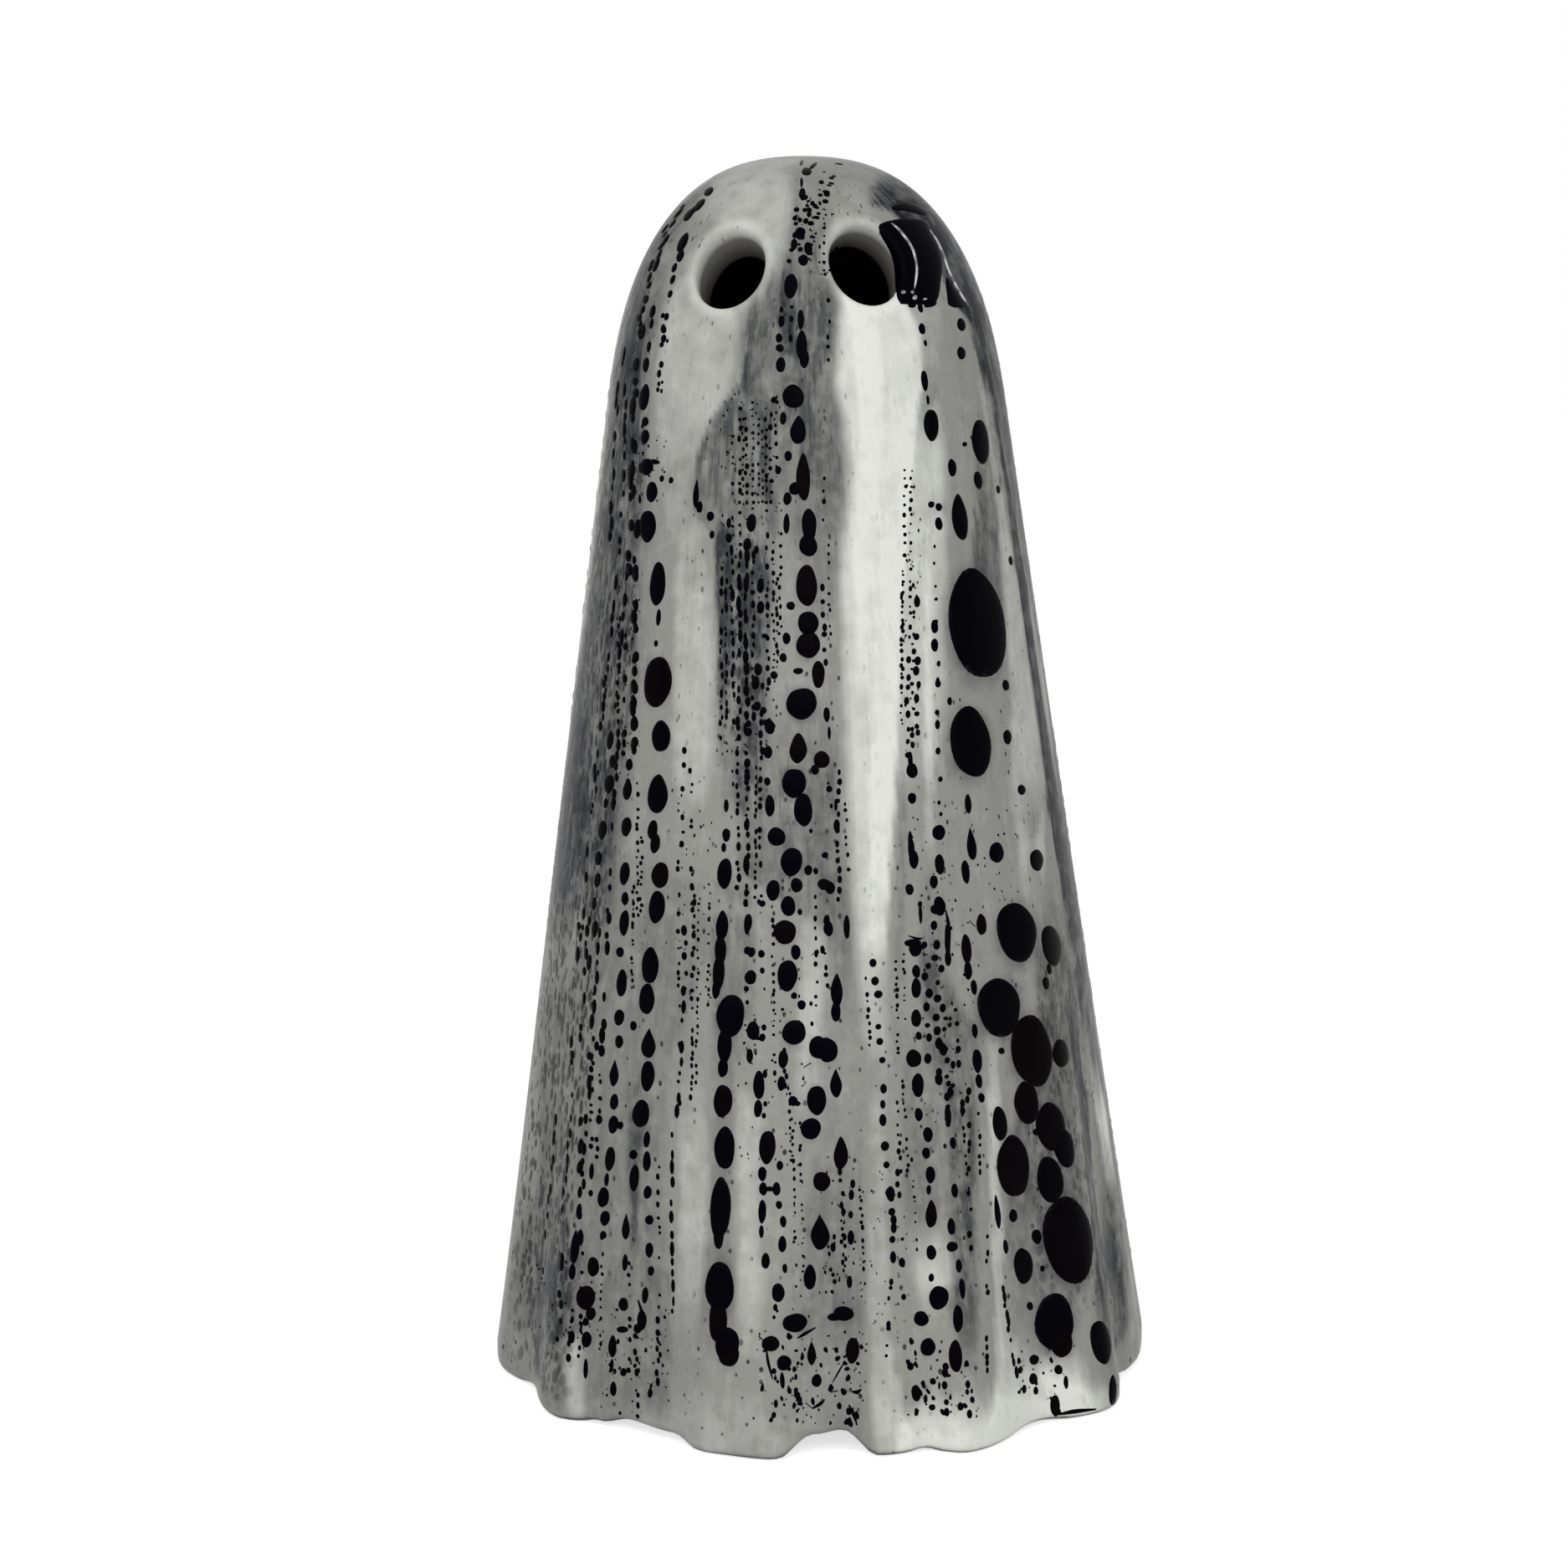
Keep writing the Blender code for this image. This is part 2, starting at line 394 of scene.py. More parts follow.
def boreProfile(frameOfEye, angles, top, low):            # growth, way out and depth, down the hole
    rim, innerRim = ghost["eyeRim"], ghost["innerRim"]
    inset = 0.0003                            # over which the skin's slope at the rim is measured
    slope = (eyeLanding(frameOfEye, bellOf(0.0), ovalOf(angles, rim - inset)) - top) / inset
    ease = ghost["rimEase"] * rim
    ends = top - ghost["rimDepth"] * rim
    profile = []
    for step in range(1, ghost["rimSteps"] + 1):          # a cubic curve off the skin into the hole
        t = step / ghost["rimSteps"]
        weights = ((1 - t) ** 3, 3 * t * (1 - t) ** 2, 3 * t * t * (1 - t), t ** 3)
        grown = weights[0] * rim + weights[1] * (rim - ease)
        out = weights[0] * top + weights[1] * (top + ease * slope)
        out = out + weights[2] * (ends + ease) + weights[3] * ends
        profile.append((grown, out, 0.0))
    for step in range(1, ghost["boreSteps"] + 1):
        share = step / ghost["boreSteps"]
        profile.append((0.0, ends + (low + innerRim - ends) * share, share * 0.9))
    profile.append((innerRim * 0.3, low + innerRim * 0.3, 0.95))
    return profile


def weaveEye(weave, outerGrid, innerGrid, window, innerWindow, eye):
    frameOfEye = eyeFrame(*eye)
    last, angles, top = eyeSkin(
        weave, windowLoop(outerGrid, window), bellOf(0.0), frameOfEye, ghost["eyeRim"], 0.0, False
    )
    innerLoop, innerAngles, low = eyeSkin(
        weave, windowLoop(innerGrid, innerWindow), bellOf(ghost["wall"]), frameOfEye,
        ghost["innerRim"], 1.0, True
    )
    profile = boreProfile(frameOfEye, angles, top, low)
    for step, (grown, out, depth) in enumerate(profile):
        share = step / (len(profile) - 1)
        turned = angles * (1 - share) + (angles + np.unwrap(innerAngles - angles)) * share
        places = eyePlaces(frameOfEye, ovalOf(turned, grown), out)
        now = [weave.point(tuple(place), depth) for place in places]
        weave.quads(last, now)
        last = now
    weave.quads(last, innerLoop)


def eyeWindows(innerHeights):                 # the block around each eye: first row, last row, column
    windows, innerWindows = [], []
    span, middle = ghost["windowRows"], np.zeros((1, 2))
    for eye in ghost["eyes"].values():
        frameOfEye = eyeFrame(*eye)
        left = (round(eye[0] / 360 * ghost["columns"]) - ghost["windowColumns"]) % ghost["columns"]
        inside = eyeLanding(frameOfEye, bellOf(ghost["wall"]), middle)
        level = eyePlaces(frameOfEye, middle, inside)[0, 2]
        innerRow = int(np.searchsorted(-innerHeights, -level))
        for places, row in ((windows, frameOfEye[-1]), (innerWindows, innerRow)):
            places.append((row - span, row + span, left))
    return windows, innerWindows


def weaveFoot(weave, last, radius, innerRadius, innerLast):           # the round edge it stands on
    foot, steps = ghost["footRound"], ghost["footSteps"]
    arc = [(1 - cos(pi / 2 * k / steps), 1 - sin(pi / 2 * k / steps)) for k in range(steps + 1)]
    path = [(radius - foot * x, foot * z, 0.1 * k / steps) for k, (x, z) in enumerate(arc)]
    path += [(innerRadius + foot * x, foot * z, 0.5) for x, z in reversed(arc)]
    for reach, height, depth in path:
        now = [weave.point(ringPoint(reach, height, column), depth) for column in range(ghost["columns"])]
        weave.quads(last, now)
        last = now
    weave.quads(last, innerLast)


def bellMesh():
    weave, columns = Weave(), range(ghost["columns"])
    radii, heights = bellProfile(bellOf(0.0))
    innerRadii, innerHeights = bellProfile(bellOf(ghost["wall"]))
    windows, innerWindows = eyeWindows(innerHeights)
    crownRows, allRows = ghost["crownRows"], len(radii)
    innerRows = list(range(1, crownRows + 1))
    innerRows += list(range(crownRows + ghost["innerStep"], allRows, ghost["innerStep"]))
    outerGrid = weaveBell(weave, radii, heights, range(1, allRows), 0.0, False, windows)
    innerGrid = weaveBell(weave, innerRadii, innerHeights, innerRows, 1.0, True, innerWindows)
    for grid, place, flip, depth in (
        (outerGrid, heights[0], False, 0.0), (innerGrid, innerHeights[0], True, 1.0)
    ):
        pole = weave.point((0.0, 0.0, place), depth)
        for column in columns:
            face = (pole, grid[1, column], grid[1, (column + 1) % len(columns)])
            weave.faces.append(face[::-1] if flip else face)
    lowest = [outerGrid[allRows - 1, column] for column in columns]
    innerLowest = [innerGrid[innerRows[-1], column] for column in columns]
    weaveFoot(weave, lowest, radii[-1], innerRadii[-1], innerLowest)
    for window, innerWindow, eye in zip(windows, innerWindows, ghost["eyes"].values()):
        weaveEye(weave, outerGrid, innerGrid, window, innerWindow, eye)
    mesh = bpy.data.meshes.new("ghost_glaze")
    mesh.from_pydata(weave.points, [], weave.faces)
    mesh.update()
    depths = np.array(weave.depths)
    waves = np.array([hemWave(degrees(atan2(x, -y))) for x, y, _ in weave.points])
    shares = np.where(depths > 0.3, ghost["innerFoldShare"], 1.0)
    setAttribute(mesh, "inward", depths)
    setAttribute(mesh, "hemOut", waves[:, 0] * shares)
    setAttribute(mesh, "hemLift", waves[:, 1])
    return mesh


def setAttribute(mesh, name, values):
    values = np.asarray(values, dtype=np.float32)
    vector = values.ndim == 2
    layer = mesh.attributes.new(name, "FLOAT_VECTOR" if vector else "FLOAT", "POINT")
    layer.data.foreach_set("vector" if vector else "value", values.ravel())


def newTree(name, numbers, others):           # a tree with the inputs that it is given by name
    inputs = {label: ("Float", value) for label, value in numbers.items()} | others
    tree = bpy.data.node_groups.new(name, "GeometryNodeTree")
    tree.interface.new_socket("Geometry", in_out="INPUT", socket_type="NodeSocketGeometry")
    tree.interface.new_socket("Geometry", in_out="OUTPUT", socket_type="NodeSocketGeometry")
    for label, (kind, value) in inputs.items():
        socket = tree.interface.new_socket(label, in_out="INPUT", socket_type="NodeSocket" + kind)
        if value is not None:
            socket.default_value = value
    graph = Graph(tree)
    start = tree.nodes.new("NodeGroupInput")
    given = {socket.name: Wire(graph, socket) for socket in start.outputs if socket.name}
    return tree, graph, given


def closeTree(graph, geometry, material):
    real = graph.node("GeometryNodeRealizeInstances", {}, [geometry])
    painted = graph.node("GeometryNodeSetMaterial", {}, {"Geometry": real, "Material": material})
    end = graph.tree.nodes.new("NodeGroupOutput")
    graph.link(painted, end.inputs[0])


def namedValue(graph, name, kind="FLOAT"):
    settings = {"data_type": kind}
    return graph.node("GeometryNodeInputNamedAttribute", settings, {"Name": name})


def applyTree(thing, tree, values):           # the tree's result as a plain mesh
    modifier = thing.modifiers.new(tree.name, "NODES")
    modifier.node_group = tree
    for item in tree.interface.items_tree:
        if item.in_out == "INPUT" and item.name in values:
            modifier[item.identifier] = values[item.name]
    graph = bpy.context.evaluated_depsgraph_get()
    plain = bpy.data.meshes.new_from_object(thing.evaluated_get(graph), depsgraph=graph)
    thing.modifiers.clear()
    old, thing.data = thing.data, plain
    plain.name = thing.name
    bpy.data.meshes.remove(old)


drape = {
    "Fold Top": ghost["foldTop"], "Fold Growth": ghost["foldGrowth"], "Hem Band": ghost["hemBand"],
    "Lift Top": ghost["liftTop"], "Lean": ghost["lean"], "Height": ghost["height"],
}


def drapeTree():                              # folds, lifted hem and lean of the cloth-like skirt
    tree, graph, given = newTree("drape the skirt", drape, {"Material": ("Material", None)})
    place = graph.node("GeometryNodeInputPosition")
    split = graph.node("ShaderNodeSeparateXYZ", {}, [place])
    x, y, z = (Wire(graph, socket) for socket in split.socket.node.outputs)
    reach = (given["Fold Top"] - z.atLeast(given["Hem Band"])) / (given["Fold Top"] - given["Hem Band"])
    growth = reach.atLeast(0.0) ** given["Fold Growth"]
    out = namedValue(graph, "hemOut") * growth
    radius = (x * x + y * y) ** 0.5
    swell = out / radius.atLeast(0.0001) + 1.0
    rise = (1.0 - z / given["Lift Top"]).atLeast(0.0) ** 2.0
    height = z + namedValue(graph, "hemLift").atLeast(0.0) * rise
    shear = given["Lean"] * height / given["Height"]
    moved = graph.node("ShaderNodeCombineXYZ", {}, [x * swell + shear, y * swell, height])
    shaped = graph.node("GeometryNodeSetPosition", {}, {"Geometry": given["Geometry"], "Position": moved})
    closeTree(graph, shaped, given["Material"])
    return tree


def makeShell(material):
    shell = bpy.data.objects.new("glazed_shell", bellMesh())
    collection.objects.link(shell)
    applyTree(shell, drapeTree(), {"Material": material, **drape})
    low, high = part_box("ghost_shell")
    places = np.empty(len(shell.data.vertices) * 3)
    shell.data.vertices.foreach_get("co", places)
    places = places.reshape(-1, 3)
    shift = [0.0, 0.0]                        # sets the shell's middle over the CAD's
    for axis in (0, 1):
        middle = (places[:, axis].min() + places[:, axis].max()) / 2
        shift[axis] = (low[axis] + high[axis]) / 2 - middle
        places[:, axis] += shift[axis]
    shell.data.vertices.foreach_set("co", places.ravel())
    shell.data.shade_smooth()
    shell.data.update()
    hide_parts("ghost_shell")
    return shell, places, shift


glaze, glazeGraph, glazeSockets = newMaterial("off-white run glaze", 0.3, 0.03)
shell, skinPlaces, skinShift = makeShell(glaze)
skinTree = BVHTree.FromPolygons(
    [Vector(place) for place in skinPlaces], [tuple(face.vertices) for face in shell.data.polygons]
)
print("shell woven:", len(shell.data.polygons), "faces")


# Places on the skin: what lies under a pixel of the photograph, and which way the glaze ran there
def skinUnder(x, y):
    place, normal, _, _ = skinTree.ray_cast(eyePoint, pixelRay(x, y))
    if place is None:                         # just past the edge of the ghost
        reach = (Vector(photo["lookAt"]) - eyePoint).length
        place, normal, _, _ = skinTree.find_nearest(eyePoint + pixelRay(x, y) * reach)
    return place, normal


def closedSkinUnder(x, y):                    # the same, as if the eye holes were closed
    place = skinUnder(x, y)[0]
    if place.z < ghost["foldTop"]:
        return place
    ray, front = pixelRay(x, y), 0.032        # the search runs from so far before the axis back to it
    middle = Vector((*skinShift, 0))
    start = eyePoint + ray * ((skinShift[1] - front - eyePoint.y) / ray.y) - middle
    upright = [Vector((v.x - ghost["lean"] * v.z / ghost["height"], v.y, v.z)) for v in (start, ray)]
    reach = landOnBell(bellOf(0.0), np.array([upright[0]]), np.array(upright[1]), front / ray.y)
    return start + middle + ray * float(reach[0])


def bearing(place):                           # azimuth in degrees from the front
    x = place.x - skinShift[0] - ghost["lean"] * place.z / ghost["height"]
    return degrees(atan2(x, -(place.y - skinShift[1])))


def skinAt(azimuth, height):                  # on a ray from outside that slants down to the axis
    turn, slope, start, usual = radians(azimuth), 0.35, 0.08, 0.03        # a usual radius of the skin
    far = Vector((sin(turn), -cos(turn), slope)) * start
    axis = Vector((skinShift[0], skinShift[1], height - slope * usual))
    place, normal, _, _ = skinTree.ray_cast(axis + far, -far.normalized())
    return place, normal


def runDirection(normal):                     # straight down the skin
    down = Vector((0, 0, -1))
    down -= normal * down.dot(normal)
    return down.normalized() if down.length > 0.01 else Vector((0, -1, 0))


# Washes: soft bands of paler and greyer glaze, with painted light in them: pale bands on the main run and the
# fold ridges are partly painted highlight, and grey bands in fold valleys and along the sides are partly
# painted shade. Each row is a pixel row of the photograph with the band's left and right edge and its
# strength; the two numbers before are how soft the edges are, in mm.
washes = {
    "pale": (
        # the main white run: white glaze, partly painted highlight
        (0.9, 0.5, ((355, 1006, 1080, 0.75), (400, 1003, 1100, 0.8), (455, 998, 1104, 0.75),
                    (500, 1012, 1096, 0.75), (560, 1018, 1090, 0.75), (640, 1010, 1084, 0.75),
                    (700, 1006, 1080, 0.8), (760, 1008, 1078, 0.75), (900, 1014, 1072, 0.7),
                    (1030, 1020, 1064, 0.6), (1130, 1024, 1058, 0.5), (1250, 1036, 1060, 0.2))),
        (0.5, 0.5, ((362, 1012, 1048, 0.25), (440, 1022, 1054, 0.3), (520, 1026, 1054, 0.25),
                    (640, 1020, 1046, 0.25), (800, 1024, 1040, 0.2))),
        (0.6, 0.3, ((520, 1056, 1085, 0.15), (760, 1044, 1074, 0.25), (1000, 1040, 1068, 0.4),
                    (1120, 1036, 1060, 0.3))),
        (0.8, 1.2, ((376, 1076, 1126, 0.15), (480, 1080, 1120, 0.1), (545, 1080, 1128, 0.55),
                    (680, 1078, 1130, 0.5), (800, 1074, 1130, 0.45), (900, 1070, 1128, 0.2),
                    (960, 1070, 1120, 0.0))),
        (0.9, 0.9, ((330, 812, 830, 0.2), (372, 796, 884, 0.3), (470, 784, 868, 0.3), (545, 786, 828, 0.2),
                    (600, 792, 826, 0.1), (660, 806, 846, 0.25), (760, 806, 852, 0.4),
                    (900, 806, 850, 0.35), (1010, 806, 842, 0.05))),
        (1.8, 1.2, ((196, 880, 950, 0.35), (230, 850, 945, 0.4), (262, 842, 940, 0.35),
                    (300, 912, 940, 0.3), (340, 914, 930, 0.1))),
        (0.6, 0.8, ((225, 1008, 1030, 0.1), (262, 996, 1040, 0.15), (300, 990, 1004, 0.2))),
        # pale glaze with painted highlight on a fold ridge
        (0.5, 0.5, ((1300, 812, 842, 0.1), (1380, 812, 846, 0.3), (1480, 812, 842, 0.3),
                    (1600, 806, 836, 0.0))),
        (0.4, 0.6, ((1260, 876, 900, 0.0), (1340, 880, 912, 0.3), (1520, 880, 912, 0.35),
                    (1620, 876, 908, 0.1))),
        (0.8, 0.8, ((1080, 956, 986, 0.1), (1180, 956, 986, 0.35), (1240, 952, 980, 0.3),
                    (1310, 950, 975, 0.1))),
        (0.5, 0.3, ((1330, 1040, 1058, 0.15), (1600, 1040, 1062, 0.25), (1720, 1046, 1088, 0.5))),
        # pale glaze with painted highlight on a fold ridge
        (0.8, 0.8, ((1600, 1194, 1208, 0.5), (1640, 1190, 1228, 0.7), (1700, 1180, 1240, 0.7))),
        (1.0, 1.0, ((1660, 1110, 1190, 0.1), (1690, 1076, 1222, 0.7), (1730, 1070, 1210, 0.9))),
        # a thin painted highlight along a fold ridge
        (0.3, 0.3, ((1190, 1180, 1192, 0.4), (1400, 1182, 1196, 0.5), (1600, 1190, 1202, 0.4))),
        (0.3, 0.4, ((690, 1106, 1113, 0.4), (900, 1104, 1116, 0.4), (1000, 1106, 1116, 0.2))),
        (0.8, 0.6, ((470, 1172, 1184, 0.3), (600, 1190, 1204, 0.4), (740, 1202, 1222, 0.45),
                    (870, 1208, 1240, 0.45), (950, 1206, 1250, 0.2), (1010, 1216, 1250, 0.4),
                    (1080, 1220, 1250, 0.1))),
        (0.9, 0.9, ((1480, 1090, 1140, 0.2), (1525, 1094, 1138, 0.5), (1560, 1100, 1136, 0.2))),
        (0.9, 0.9, ((1640, 1244, 1296, 0.4), (1676, 1262, 1300, 0.6))),
        # a thin painted highlight near the right edge
        (0.3, 0.3, ((1290, 1304, 1314, 0.3), (1340, 1312, 1324, 0.8), (1400, 1320, 1332, 0.3))),
        # pale glaze with painted highlight on a fold ridge
        (0.7, 0.7, ((1620, 676, 694, 0.5), (1690, 680, 700, 0.4))),
        (1.0, 1.0, ((1640, 800, 930, 0.0), (1700, 800, 950, 0.2), (1740, 830, 950, 0.2))),
    ),
    "grey": (
        (0.2, 0.9, ((453, 886, 905, 0.75), (470, 872, 912, 0.85), (483, 861, 915, 0.9),
                     (509, 846, 920, 0.95), (534, 836, 920, 0.8), (558, 830, 920, 0.75),
                     (590, 827, 925, 0.7), (618, 830, 930, 0.65), (634, 844, 935, 0.6),
                     (654, 852, 925, 0.7), (720, 856, 925, 0.75), (822, 858, 915, 0.65),
                     (880, 860, 905, 0.5), (960, 862, 895, 0.3))),
        (0.3, 0.5, ((640, 856, 876, 0.5), (700, 857, 876, 0.7), (780, 858, 876, 0.6),
                    (830, 858, 873, 0.3), (880, 860, 874, 0.1))),
        (0.7, 0.8, ((640, 882, 915, 0.1), (690, 884, 918, 0.5), (800, 884, 918, 0.5),
                    (900, 886, 914, 0.3))),
        (0.7, 1.2, ((345, 900, 940, 0.6), (400, 886, 950, 0.95), (450, 886, 950, 0.9),
                    (520, 910, 950, 0.6), (600, 910, 950, 0.3))),
        (1.0, 1.2, ((200, 956, 990, 0.05), (240, 950, 990, 0.3), (300, 925, 985, 0.7),
                    (340, 925, 1000, 0.9), (450, 950, 1002, 0.95), (560, 955, 1002, 0.9),
                    (640, 945, 1004, 0.5), (760, 985, 1002, 0.3), (900, 990, 1006, 0.15))),
        (0.2, 0.5, ((500, 994, 1006, 0.35), (560, 1000, 1012, 0.4), (640, 1008, 1016, 0.2))),
        (0.8, 0.8, ((860, 885, 1000, 0.3), (930, 880, 1000, 0.75), (1040, 880, 1010, 0.6),
                    (1110, 985, 1018, 0.75), (1180, 995, 1024, 0.3), (1300, 1000, 1040, 0.05))),
        (0.8, 0.8, ((1060, 850, 900, 0.5), (1160, 848, 906, 0.6), (1230, 850, 905, 0.4),
                    (1300, 850, 880, 0.3), (1420, 850, 875, 0.3))),
        (1.8, 1.2, ((204, 1040, 1090, 0.5), (220, 1036, 1096, 1.2), (236, 1040, 1110, 1.9),
                    (250, 1068, 1124, 2.2), (262, 1096, 1134, 2.2))),
        (0.6, 0.3, ((232, 1090, 1130, 1.2), (250, 1092, 1140, 2.0), (280, 1106, 1160, 2.2),
                    (310, 1120, 1180, 2.2), (350, 1134, 1190, 2.0), (380, 1160, 1194, 1.4),
                    (420, 1176, 1200, 0.6))),
        (0.3, 0.3, ((240, 1068, 1104, 0.8), (248, 1066, 1110, 1.8), (256, 1072, 1116, 1.6))),
        # dark streaks along the right edge: dark glaze with painted shade where the side turns away
        (0.2, 0.2, ((400, 1160, 1168, 0.6), (440, 1172, 1182, 2.4), (520, 1185, 1195, 2.8),
                    (610, 1202, 1211, 3.0), (660, 1210, 1220, 1.6), (700, 1218, 1227, 3.0),
                    (800, 1232, 1240, 2.4), (880, 1243, 1253, 2.0), (960, 1252, 1266, 2.8),
                    (1040, 1266, 1280, 2.8), (1120, 1280, 1292, 2.0), (1220, 1292, 1304, 0.0))),
        (0.3, 0.4, ((372, 1164, 1200, 1.4), (460, 1188, 1202, 2.2), (560, 1205, 1222, 2.0),
                    (700, 1230, 1242, 1.8), (860, 1254, 1272, 1.2), (1040, 1284, 1302, 2.0),
                    (1240, 1304, 1318, 1.8), (1480, 1328, 1346, 1.8), (1580, 1338, 1350, 1.2),
                    (1660, 1340, 1352, 0.0))),
        (0.25, 0.25, ((1130, 1262, 1268, 0.0), (1250, 1280, 1288, 1.2), (1320, 1290, 1300, 1.8),
                      (1400, 1298, 1306, 2.4), (1450, 1304, 1312, 2.4), (1540, 1314, 1324, 1.4),
                      (1620, 1322, 1330, 0.0))),
        (0.3, 0.3, ((940, 1226, 1256, 0.0), (980, 1224, 1244, 1.0), (1010, 1226, 1240, 0.9),
                    (1060, 1228, 1246, 0.3))),
        (0.8, 0.8, ((1440, 1300, 1340, 0.3), (1520, 1304, 1345, 0.8), (1600, 1310, 1350, 0.5))),
        (0.4, 0.7, ((500, 1168, 1196, 0.3), (610, 1160, 1196, 0.8), (680, 1162, 1196, 0.9),
                    (730, 1170, 1200, 0.4))),
        (0.5, 0.3, ((470, 1096, 1122, 0.5), (525, 1088, 1096, 0.7), (580, 1082, 1090, 0.7),
                    (640, 1078, 1086, 0.5), (760, 1078, 1082, 0.3))),
        # grey glaze with painted shade in a fold valley
        (0.8, 1.0, ((1060, 1098, 1124, 0.3), (1160, 1096, 1126, 0.85), (1240, 1100, 1172, 0.7),
                    (1330, 1134, 1168, 0.85), (1420, 1134, 1168, 0.95), (1560, 1134, 1170, 0.9),
                    (1620, 1150, 1170, 0.5))),
        (0.8, 0.8, ((1250, 1080, 1112, 0.2), (1350, 1080, 1125, 0.5), (1460, 1080, 1125, 0.5),
                    (1510, 1085, 1110, 0.1))),
        # grey glaze with painted shade in a fold valley
        (0.8, 0.8, ((1300, 990, 1034, 0.0), (1450, 960, 1034, 0.4), (1570, 960, 1034, 0.6),
                    (1640, 960, 1036, 0.2), (1700, 980, 1030, 0.3))),
        (0.4, 0.4, ((960, 1074, 1084, 0.3), (1100, 1070, 1084, 0.4), (1280, 1066, 1080, 0.1))),
        (0.8, 0.8, ((1060, 1230, 1290, 0.2), (1150, 1236, 1290, 0.8), (1240, 1240, 1300, 0.7),
                    (1330, 1210, 1290, 0.7), (1460, 1200, 1300, 0.6), (1560, 1210, 1300, 0.3))),
        # the darker left side: grey glaze with painted shade
        (2.0, 2.4, ((240, 820, 836, 1.1), (300, 772, 800, 1.0), (380, 750, 784, 1.1),
                    (440, 740, 772, 1.5), (520, 728, 772, 1.4), (600, 716, 772, 1.1),
                    (760, 696, 766, 0.9), (950, 676, 745, 1.0), (1040, 661, 730, 0.8),
                    (1140, 650, 700, 0.2), (1300, 640, 690, 0.15), (1420, 628, 690, 0.2),
                    (1500, 614, 700, 0.7), (1600, 610, 680, 0.6), (1660, 612, 660, 0.3))),
        (1.5, 1.5, ((760, 670, 705, 0.4), (950, 660, 704, 0.8), (1060, 650, 690, 0.5),
                    (1140, 640, 680, 0.0))),
        (1.0, 1.0, ((1040, 700, 850, 0.3), (1140, 700, 840, 0.4), (1240, 640, 800, 0.4),
                    (1400, 640, 790, 0.45), (1540, 640, 810, 0.5), (1660, 690, 800, 0.5),
                    (1700, 700, 800, 0.2))),
        (0.5, 0.6, ((1550, 630, 650, 0.3), (1600, 634, 650, 0.6), (1640, 640, 652, 0.6))),
        (0.5, 0.5, ((1600, 662, 672, 0.2), (1640, 664, 674, 0.5), (1665, 664, 676, 0.3))),
        (0.5, 0.7, ((1280, 752, 770, 0.2), (1350, 752, 772, 0.6), (1430, 750, 772, 0.5),
                    (1520, 752, 790, 0.1))),
        (0.8, 0.8, ((1500, 840, 880, 0.5), (1570, 836, 880, 0.4), (1620, 840, 880, 0.1))),
    ),
    "flecks": (
        (0.8, 2.0, ((300, 770, 800, 0.0), (380, 738, 780, 0.6), (620, 700, 752, 0.8),
                    (760, 690, 748, 1.0), (1000, 660, 730, 1.0), (1200, 640, 712, 1.0),
                    (1400, 625, 690, 1.0), (1500, 612, 690, 0.9), (1640, 612, 680, 0.5))),
        (0.6, 0.6, ((720, 738, 760, 0.6), (800, 735, 762, 1.0), (900, 735, 760, 0.3))),
        (0.4, 0.5, ((640, 856, 910, 0.6), (820, 858, 910, 0.7), (900, 860, 905, 0.2))),
        (0.6, 0.6, ((1180, 1238, 1290, 0.4), (1400, 1230, 1310, 0.5), (1560, 1240, 1320, 0.3))),
    ),
}


washEdge = {"runOn": 9.0, "softness": 4.0, "fade": 3 * mm}            # degrees on, mm soft, and past its ends


def easeStep(values, soft):                   # 0 to 1 as the values go from soft below 0 to soft above
    share = ((values + soft) / (2 * soft)).clip(0.0, 1.0)
    return share * share * (3 - 2 * share)


def pastTheEdge(x, y):
    return skinTree.ray_cast(eyePoint, pixelRay(x, y))[0] is None


def washField(bands, azimuths, heights, radii):           # how strong the bands are at each point
    total = np.zeros(len(azimuths))
    for softLeft, softRight, rows in bands:
        table = []
        for y, left, right, strength in rows:
            first, second = closedSkinUnder(left, y), closedSkinUnder(right, y)
            azimuth = [bearing(first), bearing(second)]
            if pastTheEdge(left, y):          # a band at the edge runs on round the side, and fades
                azimuth[0], softLeft = azimuth[0] - washEdge["runOn"], washEdge["softness"]
            if pastTheEdge(right, y):
                azimuth[1], softRight = azimuth[1] + washEdge["runOn"], washEdge["softness"]
            table.append(((first.z + second.z) / 2, *azimuth, strength))
        level, left, right, strength = np.array(sorted(table)).T
        length = radii * pi / 180
        inLeft = (azimuths - np.interp(heights, level, left)) * length
        inRight = (np.interp(heights, level, right) - azimuths) * length
        beyond = np.maximum(level[0] - heights, heights - level[-1]).clip(0.0)
        mask = easeStep(inLeft, softLeft * mm) * easeStep(inRight, softRight * mm)
        total += mask * np.interp(heights, level, strength) * (1 - beyond / washEdge["fade"]).clip(0.0)
    return total
